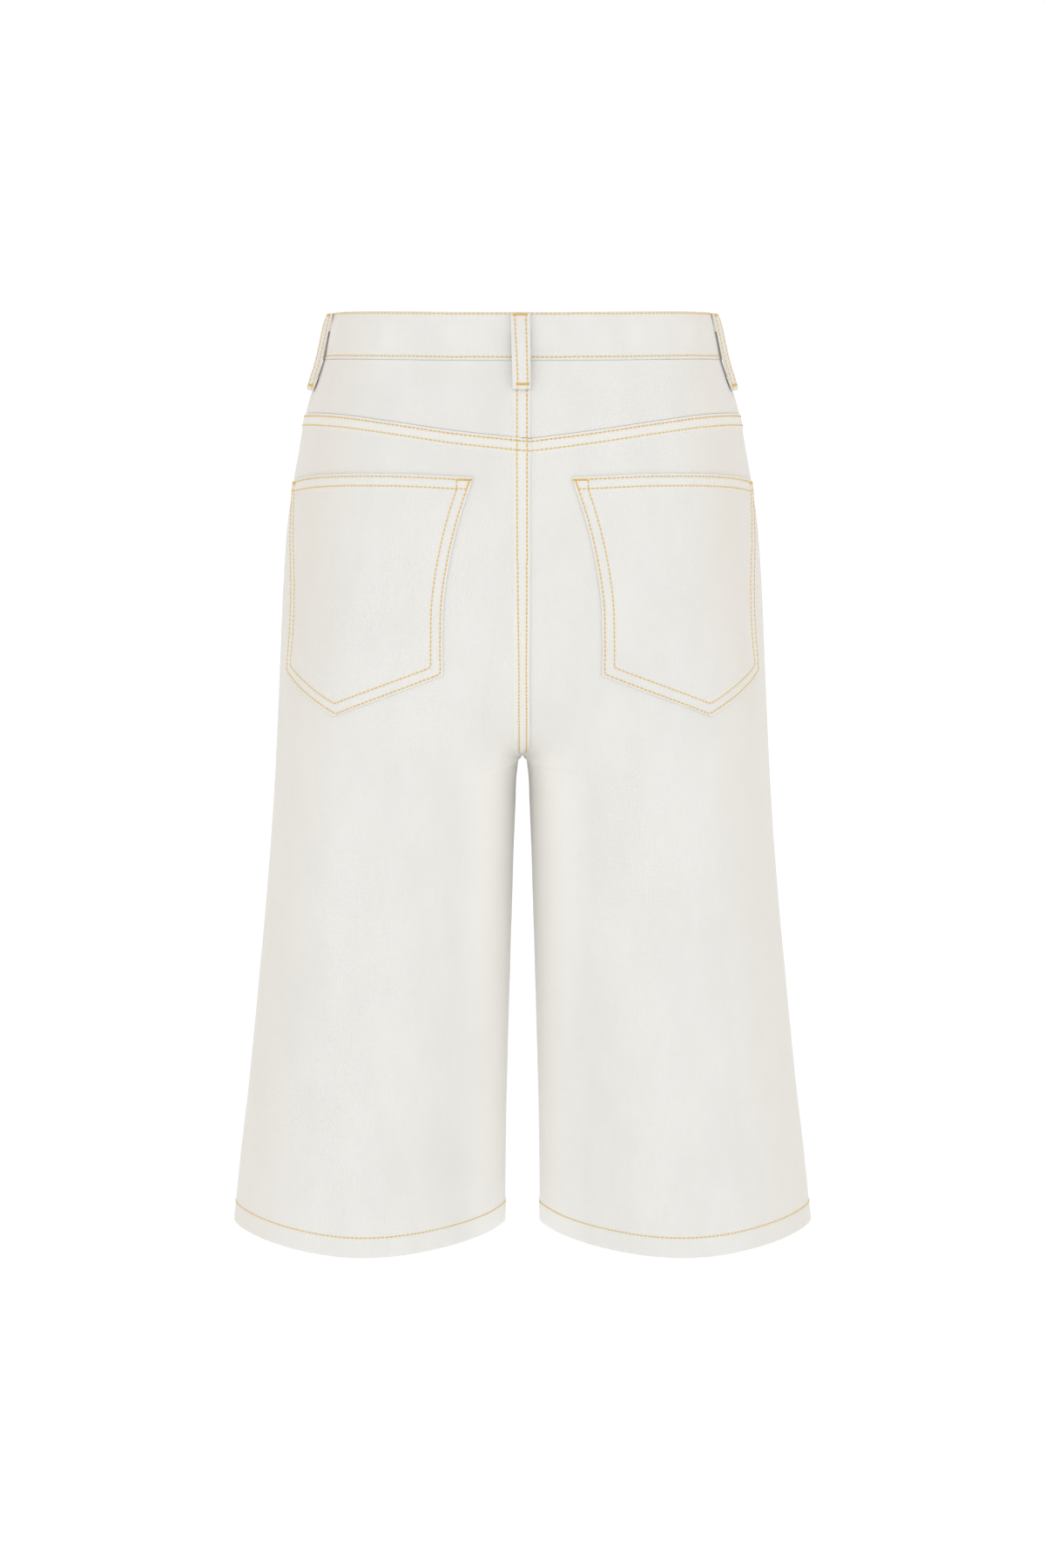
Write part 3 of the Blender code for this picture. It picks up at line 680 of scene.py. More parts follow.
def band_relief(height, girth):
    """Relief of the waistband: slack between its two rows of stitches."""
    low = WAIST_SEAM + BAND_LOW_ROW
    high = WAIST_TOP - BAND_TOP_ROW
    puff = ease((height - low) / 9) * ease((high - height) / 9)
    puff = 0.45 * puff * (1 + 0.4 * wander(girth, 1.1))
    return puff + row_relief(height - low, girth, 0.6) + row_relief(height - high, girth, 1.9)


# ---- making meshes ----

def spaced(*stretches):
    """Stations along stretches of (start, end, step) that follow on from one another."""
    stations = []
    for start, end, step in stretches:
        count = max(1, round(abs(end - start) / step))
        stations.append(np.linspace(start, end, count + 1)[:-1])
    return np.concatenate(stations + [[stretches[-1][1]]])


def add_object(name, data):
    """New object in the scene."""
    made = bpy.data.objects.new(name, data)
    bpy.context.collection.objects.link(made)
    return made


def add_piece(name, vertices, faces, finish, marks=None):
    """New shaded mesh from millimetre vertices, riding on the garment's one body."""
    mesh = bpy.data.meshes.new(name)
    mesh.from_pydata(np.asarray(vertices, float) * MM, [], faces)
    mesh.materials.append(finish)
    if marks is not None:
        mesh.attributes.new("cloth", "FLOAT_VECTOR", "POINT")
        mesh.attributes["cloth"].data.foreach_set("vector", np.asarray(marks, float).ravel())
    mesh.validate()
    mesh.shade_smooth()
    piece = add_object(name, mesh)
    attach(piece, "root")
    return piece


def grid_quads(rows, columns, first=0):
    """Faces of a grid of vertices, row by row."""
    corner = first + np.arange(rows - 1)[:, None] * columns + np.arange(columns - 1)
    corners = [corner, corner + 1, corner + columns + 1, corner + columns]
    return np.stack(corners, axis=-1).reshape(-1, 4)


def cloth_wall(name, outer, inner, marks, half, finish, rounds=3):
    """Closed shell between two grids of points, with rounded edges."""
    rows, columns = outer.shape[:2]
    count = rows * columns
    rim = np.concatenate([
        np.arange(columns),
        np.arange(1, rows) * columns + columns - 1,
        (rows - 1) * columns + np.arange(columns - 2, -1, -1),
        np.arange(rows - 2, 0, -1) * columns,
    ])
    top = outer.reshape(-1, 3)
    under = inner.reshape(-1, 3)
    middle = (top[rim] + under[rim]) / 2
    arm = top[rim] - middle
    along = np.roll(middle, -1, axis=0) - np.roll(middle, 1, axis=0)
    away = half * np.cross(along, arm)
    bulge = EDGE_BULGE * np.linalg.norm(arm, axis=-1, keepdims=True)
    away *= bulge / np.linalg.norm(away, axis=-1, keepdims=True)
    loops = [rim]
    vertices = [top, under]
    edge_marks = [marks.reshape(-1, 3)] * 2
    for k in range(rounds):
        turn = math.pi * (k + 1) / (rounds + 1)
        level = math.copysign(abs(math.cos(turn)) ** 0.6, math.cos(turn))
        vertices.append(middle + arm * level + away * math.sin(turn) ** 0.6)
        edge_marks.append(marks.reshape(-1, 3)[rim])
        loops.append(2 * count + k * len(rim) + np.arange(len(rim)))
    loops.append(rim + count)
    faces = [grid_quads(rows, columns), grid_quads(rows, columns, count)[:, ::-1]]
    for near, far in zip(loops[:-1], loops[1:]):
        faces.append(np.stack([np.roll(near, -1), near, far, np.roll(far, -1)], axis=-1))
    faces = np.concatenate(faces)
    if half < 0:
        faces = faces[:, ::-1]
    return add_piece(name, np.concatenate(vertices), faces, finish, np.concatenate(edge_marks))


def cloth_marks(height, girth, sewn):
    """What the cloth's finish reads at each vertex: girth, height and how far it is raised."""
    return np.stack(np.broadcast_arrays(girth, height, sewn), axis=-1)


def shell(name, height, girth, half, sewn, inner, finish, lift=0.0):
    """Cloth shell on one half, whose sides lie sewn and inner off the creased and lifted body."""
    base = drape(height, girth, half) + lift
    outer, under = (place(height, girth, half, base + off)[0] for off in (sewn, inner))
    from_side = half * (girth - side_girth(height))
    return cloth_wall(name, outer, under, cloth_marks(height, from_side, sewn), half, finish)


def across(start, end, near, far, count):
    """Girths across a piece: fixed distances in from its two sides, and even steps between."""
    between = np.linspace(0.0, 1.0, count)[1:-1]
    share = np.concatenate([0 * near, between, 0 * far + 1])
    offset = np.concatenate([near, near[-1] * (1 - between) - far[-1] * between, -far[::-1]])
    return start * (1 - share) + end * share + offset


BACK_COLUMNS = 84
FRONT_COLUMNS = 60
NEAR_SEAM = spaced((0.0, 13.0, 0.85))
NEAR_SIDE = spaced((0.0, 3.0, 0.75), (3.0, 11.0, 2.0))
NEAR_FLY = spaced((0.0, 42.0, 1.3))
EDGE_INSET = SIDE_INSET + 0.02      # what a panel's grid leaves at its seams
LAP_EXTRA = 0.2                     # how much further than its lap an edge reaches
LAP_CLEAR = 0.08                    # how far a lap stays off what it lies on
LAP_RAMP = 1.4                      # how gently its inner side rises


def crotch_rows():
    """Row heights evenly spaced along the curve of the crotch, and down into the legs."""
    turn = np.linspace(math.pi / 2, 0.0, 54)
    curve = CROTCH_HEIGHT + CROTCH_RISE * (1 - np.cos(turn))
    legs = CROTCH_HEIGHT - np.array((0.25, 0.55, 0.9, 1.3, 1.8, 2.5, 3.4, 4.6, 6.2, 8.2, 10.5, 13.0))
    return np.concatenate([curve, legs])


def leg_rows(step):
    """Row heights from below the crotch to the hem."""
    row_start, row_end = HEM_HEIGHT + 21, HEM_HEIGHT + 11
    return spaced((CROTCH_HEIGHT - 15.5, row_start, step), (row_start, row_end, 0.8),
                  (row_end, HEM_HEIGHT + 1.1, 1.6))


def hem_inside(height):
    """Inner side of a leg: one layer of cloth, and two where the hem is turned up."""
    turned_up = 1 - ease((height - HEM_HEIGHT - HEM_TURN) / 0.8)
    return -CLOTH * (1 + turned_up)


def back_girth(height, half):
    """Girths across a back piece, from its centre edge to its side edge."""
    start = 0 * height + EDGE_INSET
    if half > 0:
        start = start - (LAP_BACK + LAP_EXTRA) * lap(height)
    return across(start, side_girth(height) - EDGE_INSET, NEAR_SEAM, NEAR_SIDE, BACK_COLUMNS)


def back_inside(height, girth, half):
    """Inner side of a back piece; the lap of the left one lies on the right one."""
    inner = hem_inside(height)
    if half < 0:
        return inner
    return inner + (CLOTH + LAP_CLEAR) * (1 - ease(girth / LAP_RAMP)) * lap(height)


def back_panel(name, half, finish):
    """Back leg from the yoke seam to the hem."""
    seat_end = CROTCH_HEIGHT + CROTCH_RISE
    seat = spaced((YOKE_TOP - 0.8, YOKE_TOP - 15, 0.8), (YOKE_TOP - 15, seat_end, 2.7))[:-1]
    rows = np.concatenate([seat, crotch_rows(), leg_rows(2.7)])[:, None]
    settled = ease((rows - BACK_SETTLED) / (YOKE_TOP - BACK_SETTLED))
    height = rows
    for _ in range(2):
        girth = back_girth(height, half)
        height = rows + (yoke_height(girth, half) - YOKE_TOP) * settled
    sewn = back_relief(height, girth, half)
    return shell(name, height, girth, half, sewn, back_inside(height, girth, half), finish)


def yoke(name, half, finish):
    """Pointed yoke between the waistband and the back panel."""
    top = WAIST_SEAM - SIDE_INSET
    down = spaced((0.0, 0.06, 0.02), (0.06, 0.94, 0.05), (0.94, 1.0, 0.02))[:, None]
    height = 0 * down + top
    for _ in range(3):
        girth = back_girth(height, half)
        height = top * (1 - down) + (yoke_height(girth, half) + SIDE_INSET) * down
    sewn = yoke_relief(height, girth, half)
    return shell(name, height, girth, half, sewn, back_inside(height, girth, half), finish)


def front_panel(name, half, finish):
    """Front leg from the waistband to the hem."""
    seat = spaced((WAIST_SEAM - SIDE_INSET, CROTCH_HEIGHT + CROTCH_RISE, 3.2))[:-1]
    height = np.concatenate([seat, crotch_rows(), leg_rows(3.2)])[:, None]
    end = full_girth(height) - EDGE_INSET
    near_middle = NEAR_SEAM
    if half > 0:
        end = end + (LAP_FRONT + LAP_EXTRA) * lap(height)
        near_middle = NEAR_FLY
    start = side_girth(height) + EDGE_INSET
    height, girth = pair(height, across(start, end, NEAR_SIDE, near_middle, FRONT_COLUMNS))
    from_middle = full_girth(height) - girth
    inner = hem_inside(height)
    if half > 0:
        lapped = (1 - ease(from_middle / LAP_RAMP)) * lap(height) * (1 - fly(height))
        inner = inner + (CLOTH + LAP_CLEAR) * lapped
    else:
        inner = inner - fly_step(from_middle, height)
    return shell(name, height, girth, half, front_relief(height, girth, half), inner, finish)


def pocket(name, half, finish):
    """Patch pocket: a shell over its back panel, cut to a point at the foot."""
    corner, point, outer = POCKET_CORNER_INNER, POCKET_POINT, POCKET_CORNER_OUTER
    point_share = (point[0] - corner[0]) / (outer[0] - corner[0])
    edge = spaced((0.0, 0.085, 0.0055))
    middle = spaced((0.085, point_share, 0.018), (point_share, 0.915, 0.018))
    share = np.concatenate([edge[:-1], middle[:-1], 1 - edge[::-1]])
    down = spaced((0.0, 0.085, 0.0055), (0.085, 0.92, 0.018), (0.92, 1.0, 0.0055))[:, None]
    top = read(POCKET_TOP, "height", pocket_top_girth(share)) - SIDE_INSET
    foot = np.interp(share, (0, point_share, 1), (corner[1], point[1], outer[1])) + SIDE_INSET
    height = top * (1 - down) + foot * down
    start = read(POCKET_SIDES, "inner", height) + SIDE_INSET
    end = read(POCKET_SIDES, "outer", height) - SIDE_INSET
    girth = start + share * (end - start)
    return shell(name, height, girth, half, pocket_relief(height, girth), -CLOTH, finish,
                 pocket_lift(height, girth))


def loop_path(samples=400):
    """Position along a belt loop's path, and its places and directions as (off, height)."""
    knots = np.arange(len(LOOP_PATH["off"]))
    where = np.linspace(0.0, knots[-1], samples)
    line = np.stack([smooth(knots, column, where) for column in LOOP_PATH.values()], axis=-1)
    bend = np.gradient(line, axis=0)
    steps = np.linalg.norm(bend, axis=-1, keepdims=True)
    return np.cumsum(steps[:, 0]) - steps[0, 0], line, bend / steps


def loop_surface(spot, along, aside, level):
    """Points and outward directions on a belt loop, level from the middle of its cloth.

    A close loop, seen edge on at the side, lies nearer to the band and is turned to the back.
    """
    half, share, lean, close = spot
    length, line, bend = loop_path()
    off, height, bend_off, bend_height = (np.interp(along, length, values[:, k])
                                          for values in (line, bend) for k in (0, 1))
    down = (WAIST_TOP - height) / BAND_HEIGHT
    turned = LOOP_TURN * aside * ease((off - 1.6) / 3.0)
    drawn_in = (off - LOOP_PATH["off"][0]) * (0.22 + 0.3 * ease(down))
    off = off + close * (turned - drawn_in)
    height = height - LOOP_DROP * close * ease((down - 0.5) / 0.6)
    off = off - level * bend_height
    height = height + level * bend_off
    down = (WAIST_TOP - height) / BAND_HEIGHT
    girth = share * full_girth(height) + lean * down + aside * (1 - 0.06 * np.clip(down, 0.0, 1.3))
    point = place(height, girth, half, off)[0]
    above = place(height + 0.5 * bend_off, girth, half, off - 0.5 * bend_height)[0]
    out = above - point
    return point, out / np.linalg.norm(out, axis=-1, keepdims=True)


def loop_rows(along):
    """Where the two rows of stitches run across a belt loop."""
    down = np.clip((along - LOOP_FOLD) / 54.0, -0.2, 1.1)
    return 4.1 - 1.5 * down, -3.7 - 1.0 * down


def loop_relief(along, aside):
    """Relief of a belt loop: two rows of stitches and a soft ridge between them."""
    left, right = loop_rows(along)
    rows = row_relief(aside - left, along, 0.5) + row_relief(aside - right, along, 1.5)
    return 0.3 * bell(aside - (left + right) / 2, 2.8) + rows


def belt_loop(name, spot, finish):
    """Folded strip that stands off the waistband, with both ends tucked under."""
    length = loop_path()[0][-1]
    along = spaced((0.3, length - 0.3, 0.8))[:, None]
    aside = spaced((-6.5, 6.5, 0.6)) + 0 * along
    sewn = loop_relief(along, aside)
    outer, inner = (loop_surface(spot, along, aside, level)[0]
                    for level in (LOOP_CLOTH / 2 + sewn, -LOOP_CLOTH / 2 + 0 * sewn))
    return cloth_wall(name, outer, inner, cloth_marks(along, aside, sewn), spot[0], finish)


def band_path():
    """Distance from the middle, half of the body and sink of the waistband's stations.

    The band starts at the centre front, goes round by the left side, the back and the right
    side, and its other end passes on under the start.
    """
    end = float(full_girth(0.0))
    round_side = spaced((UNDERLAP, end - 1.3, 2.6))
    left = np.concatenate([spaced((0.9, UNDERLAP, 1.3))[:-1], round_side])
    right = np.concatenate([round_side[::-1], spaced((UNDERLAP - 1.3, 1.3, 1.3))])
    under = spaced((0.0, UNDERLAP - 0.9, 1.5))
    from_middle = np.concatenate([left, right, under])
    half = np.concatenate([0 * left + 1, 0 * right - 1, 0 * under + 1])
    near = np.concatenate([0 * left + BAND_STEP_WIDTH, right, 0 * under])
    return 1 - from_middle / end, half, BAND_STEP * ease(1 - near / BAND_STEP_WIDTH)


def waistband(name, finish):
    """Folded band round the waist, open at the centre front, with its ends lapped."""
    share, half, sink = (values[::-1] for values in band_path())
    top, low = WAIST_TOP - 0.9, WAIST_SEAM + 1.0
    height = spaced((top, top - 3.2, 0.8), (top - 3.2, low + 4.0, 2.4), (low + 4.0, low, 0.8))[:, None]
    height, girth = pair(height, share * full_girth(height))
    sewn = band_relief(height, girth * half)
    outer, inner = (place(height, girth, 1, BAND_PROUD - sink + off)[0] * sided(half)
                    for off in (sewn, -BAND_CLOTH + 0 * sewn))
    return cloth_wall(name, outer, inner, cloth_marks(height, girth * half, sewn), 1, finish)


def fly_layer(name, from_middle, heights, sink, thickness, finish):
    """Strip behind the centre front, from behind the left front towards the right front."""
    height = heights[:, None] + 0 * from_middle
    girth = full_girth(height) - from_middle
    outer, under = (place(height, girth, 1, -sink - off)[0] for off in (0.0, thickness))
    return cloth_wall(name, outer, under, cloth_marks(height, girth, 0.0), 1, finish)


def fly_shield(name, finish):
    """Underlap behind the fly, from behind the left front to behind the right front."""
    from_middle = spaced((SHIELD_LEFT - 0.5, 0.5 - SHIELD_RIGHT, 2.2))
    deeper = ease((from_middle - SHIELD_SINK_FROM) / SHIELD_SINK_WIDTH)
    sink = SHIELD_SINK_RIGHT + (SHIELD_SINK_LEFT - SHIELD_SINK_RIGHT) * deeper
    heights = spaced((WAIST_SEAM - 1.5, FLY_END - 7.5, 2.6))
    return fly_layer(name, from_middle, heights, sink, CLOTH, finish)


def fly_zip(name, finish):
    """Closed zip behind the left front: its two tapes, which meet in a cord under the chain."""
    from_middle = spaced((22.0 - 0.4, 2.0 + 0.4, 0.8))
    heights = spaced((ZIP_TOP - 0.4, FLY_END + 6.4, 2.6))
    thickness = ZIP_TAPE + (ZIP_CORD - ZIP_TAPE) * bell(from_middle - ZIP_MIDDLE, 1.6)
    return fly_layer(name, from_middle, heights, ZIP_SINK, thickness, finish)


# ---- sewing thread ----

def threads(starts, ends, outs, radius, strength):
    """Points and marks of short threads that dip into the cloth at both ends."""
    starts, ends, outs = (np.asarray(values, float) for values in (starts, ends, outs))
    line = ends - starts
    length = np.linalg.norm(line, axis=-1, keepdims=True)
    aside = np.cross(outs, line / length)
    up = np.cross(line / length, aside)
    part = np.array(THREAD_STATIONS)
    centre = starts[:, None] + part[:, None] * line[:, None]
    centre = centre + radius / THREAD * np.array(THREAD_LIFT)[:, None] * up[:, None]
    turn = np.arange(THREAD_SIDES) * 2 * math.pi / THREAD_SIDES
    circle = aside[:, None] * np.cos(turn)[:, None] + 0.85 * up[:, None] * np.sin(turn)[:, None]
    thick = radius * np.array(THREAD_THICKNESS)[:, None, None]
    points = centre[:, :, None] + thick * circle[:, None]
    marks = np.broadcast_arrays(turn / (2 * math.pi), (part * length)[:, :, None], strength)
    return points.reshape(-1, 3), np.stack(marks, axis=-1).reshape(-1, 3)


def thread_faces(count):
    """Faces of a number of threads."""
    stations = len(THREAD_STATIONS)
    turn = np.arange(THREAD_SIDES)
    after = (turn + 1) % THREAD_SIDES
    walls = [np.stack([k + turn, k + after, k + THREAD_SIDES + after, k + THREAD_SIDES + turn], axis=-1)
             for k in THREAD_SIDES * np.arange(stations - 1)]
    walls = np.concatenate(walls).tolist()
    last = THREAD_SIDES * (stations - 1)
    one = walls + [turn[::-1].tolist(), (last + turn).tolist()]
    size = THREAD_SIDES * stations
    return [[corner + size * k for corner in face] for k in range(count) for face in one]


def run_length(points):
    """Distance along a line of points at each of them."""
    return np.concatenate([[0.0], np.cumsum(np.linalg.norm(np.diff(points, axis=0), axis=-1))])


def sample(at, along, values):
    """Points or directions at some distances along a line."""
    return np.stack([np.interp(at, along, values[:, k]) for k in range(3)], axis=-1)


class Sewing:
    """Threads of one group of seams, gathered into one piece."""

    def __init__(self):
        self.points = []
        self.marks = []

    def add(self, starts, ends, outs, radius=THREAD, strength=0.5):
        """Add threads from their two ends and outward directions."""
        points, marks = threads(starts, ends, outs, radius, strength)
        self.points.append(points)
        self.marks.append(marks)

    def row(self, points, outs, strength=0.5):
        """Add a row of even stitches along points on the cloth."""
        along = run_length(points)
        count = max(1, round(along[-1] / STITCH_PITCH))
        first = np.arange(count) * along[-1] / count
        last = first + STITCH_LENGTH / STITCH_PITCH * along[-1] / count
        starts, ends = (sample(at, along, points) for at in (first, last))
        self.add(starts, ends, sample((first + last) / 2, along, outs), strength=strength)

    def tack(self, points, outs, width=1.8):
        """Add a bar tack: threads packed side by side across a line on the cloth."""
        along = run_length(points)
        at = np.linspace(0.0, along[-1], max(2, round(along[-1] / TACK_PITCH)))
        centre, out = (sample(at, along, values) for values in (points, outs))
        onward = np.gradient(centre, axis=0)
        side = np.cross(out, onward)
        side *= width / 2 / np.linalg.norm(side, axis=-1, keepdims=True)
        side = side + 0.4 * onward
        self.add(centre - side, centre + side, out, radius=FINE_THREAD, strength=1.0)

    def piece(self, name, finish):
        """Make the piece."""
        points = np.concatenate(self.points)
        faces = thread_faces(len(points) // (THREAD_SIDES * len(THREAD_STATIONS)))
        return add_piece(name, points, faces, finish, np.concatenate(self.marks))


def on_cloth(height, girth, half, sewn):
    """Points and outward directions on cloth that lies sewn off the creased body."""
    return place(height, girth, half, drape(height, girth, half) + sewn)


def back_line(height, girth, half):
    """Points and outward directions on a yoke or back panel."""
    height, girth = pair(height, girth)
    yoke_off = yoke_relief(height, girth, half)
    sewn = np.where(height > yoke_height(girth, half), yoke_off, back_relief(height, girth, half))
    return on_cloth(height, girth, half, sewn)


def front_line(height, girth, half):
    """Points and outward directions on a front panel."""
    height, girth = pair(height, girth)
    return on_cloth(height, girth, half, front_relief(height, girth, half))


def pocket_line(line, half):
    """Points and outward directions on a pocket along a line of (girth, height)."""
    girth, height = np.asarray(line, float).T
    return on_cloth(height, girth, half, pocket_lift(height, girth) + pocket_relief(height, girth))


def back_sewing(finish):
    """Rows beside the centre-back seam and under the yoke seams."""
    sewing = Sewing()
    height = spaced((WAIST_SEAM - 1.0, CROTCH_HEIGHT + 7.0, 1.5))
    left, right = centre_rows(height)
    sewing.row(*back_line(height, left, 1), strength=0.35)
    sewing.row(*back_line(height, right, 1), strength=0.65)
    for half, start in ((1, -LAP_BACK), (-1, LAP_BACK + 0.4)):
        girth = spaced((start, float(side_girth(YOKE_SEAM["height"][-1])) - 0.8, 1.5))
        for below, strength in ((EDGE_ROW, 0.75), (EDGE_ROW + ROW_GAUGE, 0.3)):
            level = yoke_height(girth, half) - below
            sewing.row(*back_line(level, girth, half), strength=strength)
    return sewing.piece("back_topstitching", finish)


def pocket_sewing(finish):
    """Double rows round the pockets, with a bar tack at each upper corner."""
    sewing = Sewing()
    first, second = (inset_lines(pocket_outline(), POCKET_ROW + more) for more in (0.0, ROW_GAUGE))
    top_in, top_out = first[1][0], first[4][-1]
    to_edge = np.array((ROW_GAUGE + POCKET_ROW - 0.6, 0.0))
    second_top = [second[0][0] + to_edge, *second[0], second[0][-1] - to_edge]
    bars = [corner + np.linspace(-1.6, 9.2, 12)[:, None] * (inward, 0.0)
            for corner, inward in ((top_in, 1), (top_out, -1))]
    uprights = [side[side[:, 1] > side[0, 1] - 9.0] for side in (first[1], first[4][::-1])]
    for half in (1, -1):
        for lines, strength in ((first, 0.55), (second, 0.35)):
            foot = np.concatenate([line[:-1] for line in lines[1:]] + [lines[-1][-1:]])
            start, end = (foot[0][0], top_in[1]), (foot[-1][0], top_out[1])
            sewing.row(*pocket_line([start, *foot, end], half), strength=strength)
        sewing.row(*pocket_line(first[0], half), strength=0.4)
        sewing.row(*pocket_line(second_top, half), strength=0.25)
        for tacks, width in ((bars, 1.8), (uprights, 1.1)):
            for line in tacks:
                sewing.tack(*pocket_line(line, half), width=width)
    return sewing.piece("pocket_topstitching", finish)


def hem_sewing(finish):
    """One row round each hem."""
    sewing = Sewing()
    height = HEM_HEIGHT + HEM_ROW
    for half in (1, -1):
        side = float(side_girth(height))
        sewing.row(*back_line(height, spaced((0.3, side, 1.5)), half), strength=0.45)
        sewing.row(*front_line(height, spaced((side, float(full_girth(height)) - 0.3, 1.5)), half),
                   strength=0.45)
    return sewing.piece("hem_topstitching", finish)


def front_sewing(finish):
    """Fly stitching, the two rows of the front rise, and the bar tacks that hold the fly."""
    sewing = Sewing()
    straight = spaced((WAIST_SEAM - 1.0, FLY_TURN, 2.0))[:-1]
    turn = np.linspace(0.0, math.pi / 2, 40)
    for more, strength in ((0.0, 0.6), (ROW_GAUGE, 0.4)):
        wide, deep = fly_curve(more)
        height = np.concatenate([straight, FLY_TURN - deep * np.sin(turn)])
        from_middle = np.concatenate([0 * straight + wide, wide * np.cos(turn) - 2.0 * turn])
        sewing.row(*front_line(height, full_girth(height) - from_middle, 1), strength=strength)
    height = spaced((FLY_END + 2.0, CROTCH_HEIGHT + 7.0, 1.5))
    for row, strength in ((FRONT_ROW, 0.6), (FRONT_ROW + ROW_GAUGE, 0.4)):
        sewing.row(*front_line(height, full_girth(height) - row, 1), strength=strength)
    level = np.linspace(FLY_END + 1.0, FLY_END + 11.0, 10)
    sewing.tack(*front_line(level, full_girth(level) + 0.2, 1))
    level = np.linspace(FLY_TURN - 13.0, FLY_TURN - 22.0, 10)
    sewing.tack(*front_line(level, full_girth(level) - 28.0, 1))
    return sewing.piece("front_topstitching", finish)


def band_line(height, path):
    """Points and outward directions along the outer side of the waistband."""
    share, half, sink = path
    girth = share * full_girth(height)
    sewn = band_relief(height, girth * half)
    point, out = place(height, girth, 1, BAND_PROUD - sink + sewn)
    return point * sided(half), out * sided(half)


def band_sewing(finish):
    """Rows along both edges of the waistband and up its two ends."""
    sewing = Sewing()
    path = band_path()
    trim = [values[2:-2] for values in path]
    for height, strength in ((WAIST_TOP - BAND_TOP_ROW, 0.4), (WAIST_SEAM + BAND_LOW_ROW, 0.45)):
        wave = 0.18 * wander(np.arange(len(trim[0])) * 2.4, 2.6)
        sewing.row(*band_line(height + wave, trim), strength=strength)
    for end in (1, -2):
        upright = spaced((WAIST_TOP - BAND_TOP_ROW, WAIST_SEAM + BAND_LOW_ROW, 1.5))
        at = [values[end] + 0 * upright for values in path]
        sewing.row(*band_line(upright, at), strength=0.4)
    return sewing.piece("waistband_topstitching", finish)


def loop_sewing(finish):
    """Two rows along each belt loop and a bar tack at its top and its foot."""
    sewing = Sewing()
    along = spaced((1.5, loop_path()[0][-1] - 1.5, 1.5))
    for spot in LOOP_SPOTS.values():
        for row, strength in zip(loop_rows(along), (0.4, 0.6)):
            level = LOOP_CLOTH / 2 + loop_relief(along, row)
            sewing.row(*loop_surface(spot, along, row, level), strength=strength)
        for at in LOOP_TACKS:
            left, right = loop_rows(at)
            aside = np.linspace(right - 1.2, left + 1.2, 12)
            level = LOOP_CLOTH / 2 + loop_relief(at, aside)
            sewing.tack(*loop_surface(spot, at + 0 * aside, aside, level), width=2.0)
    return sewing.piece("belt_loop_topstitching", finish)


# ---- finishes ----

class Flow:
    """A value running through a finish: arithmetic on it adds the nodes that work it out."""

    def __init__(self, finish, socket):
        self.finish = finish
        self.socket = socket

    def __add__(self, other):
        return self.finish.maths("ADD", self, other)

    def __sub__(self, other):
        return self.finish.maths("SUBTRACT", self, other)

    def __rsub__(self, other):
        return self.finish.maths("SUBTRACT", other, self)

    def __mul__(self, other):
        return self.finish.maths("MULTIPLY", self, other)

    def __truediv__(self, other):
        return self.finish.maths("DIVIDE", self, other)

    __radd__ = __add__
    __rmul__ = __mul__


class Finish:
    """A material with its nodes."""

    def __init__(self, name, **constants):
        self.material = bpy.data.materials.new(name)
        self.material.use_nodes = True
        self.shader = self.material.node_tree.nodes["Principled BSDF"]
        for socket, value in constants.items():
            self.shader.inputs[socket.replace("_", " ")].default_value = value

    def node(self, kind, settings=(), output=0, **values):
        """Add a node; a value's name is its socket's, or s and the socket's number."""
        made = self.material.node_tree.nodes.new(kind)
        for setting, value in dict(settings).items():
            setattr(made, setting, value)
        for name, value in values.items():
            key = int(name[1:]) if name[1:].isdigit() else name
            self.feed(made.inputs[key], value)
        return Flow(self, made.outputs[output])

    def feed(self, socket, value):
        """Set a socket, or link a value that runs through the nodes to it."""
        if isinstance(value, Flow):
            self.material.node_tree.links.new(value.socket, socket)
        else:
            socket.default_value = value

    def maths(self, operation, *values):
        """Work a number out of one, two or three others."""
        fed = {f"s{k}": value for k, value in enumerate(values)}
        return self.node("ShaderNodeMath", {"operation": operation}, **fed)

    def mix(self, share, first, second):
        """Colour between two colours."""
        return self.node("ShaderNodeMix", {"data_type": "RGBA"}, 2, s0=share, s6=first, s7=second)

    def ramp(self, value, low, high):
        """0 where a value is at low and 1 where it is at high, smoothly between."""
        return self.node("ShaderNodeMapRange", {"interpolation_type": "SMOOTHSTEP"},
                         s0=value, s1=low, s2=high)

    def noise(self, place, scale, detail=2.0, roughness=0.5):
        """Cloudy pattern between 0 and 1."""
        return self.node("ShaderNodeTexNoise", Vector=place, Scale=scale, Detail=detail,
                         Roughness=roughness)

    def position(self, scale=(1.0, 1.0, 1.0)):
        """Place on the object in metres, stretched by a scale."""
        here = self.node("ShaderNodeTexCoord", output="Object")
        return self.node("ShaderNodeMapping", Vector=here, Scale=scale)

    def marks(self):
        """The three numbers kept on a piece's vertices."""
        kept = self.node("ShaderNodeAttribute", {"attribute_name": "cloth"}, "Vector")
        return self.parts(kept)

    def parts(self, vector):
        """The three numbers of a vector."""
        return [self.node("ShaderNodeSeparateXYZ", Vector=vector, output=axis) for axis in "XYZ"]

    def finish(self, colour, roughness, height):
        """Feed the shader; the height of the relief is in millimetres."""
        self.feed(self.shader.inputs["Base Color"], colour)
        self.feed(self.shader.inputs["Roughness"], roughness)
        bump = self.node("ShaderNodeBump", Height=height, Distance=MM)
        self.feed(self.shader.inputs["Normal"], bump)
        return self.material


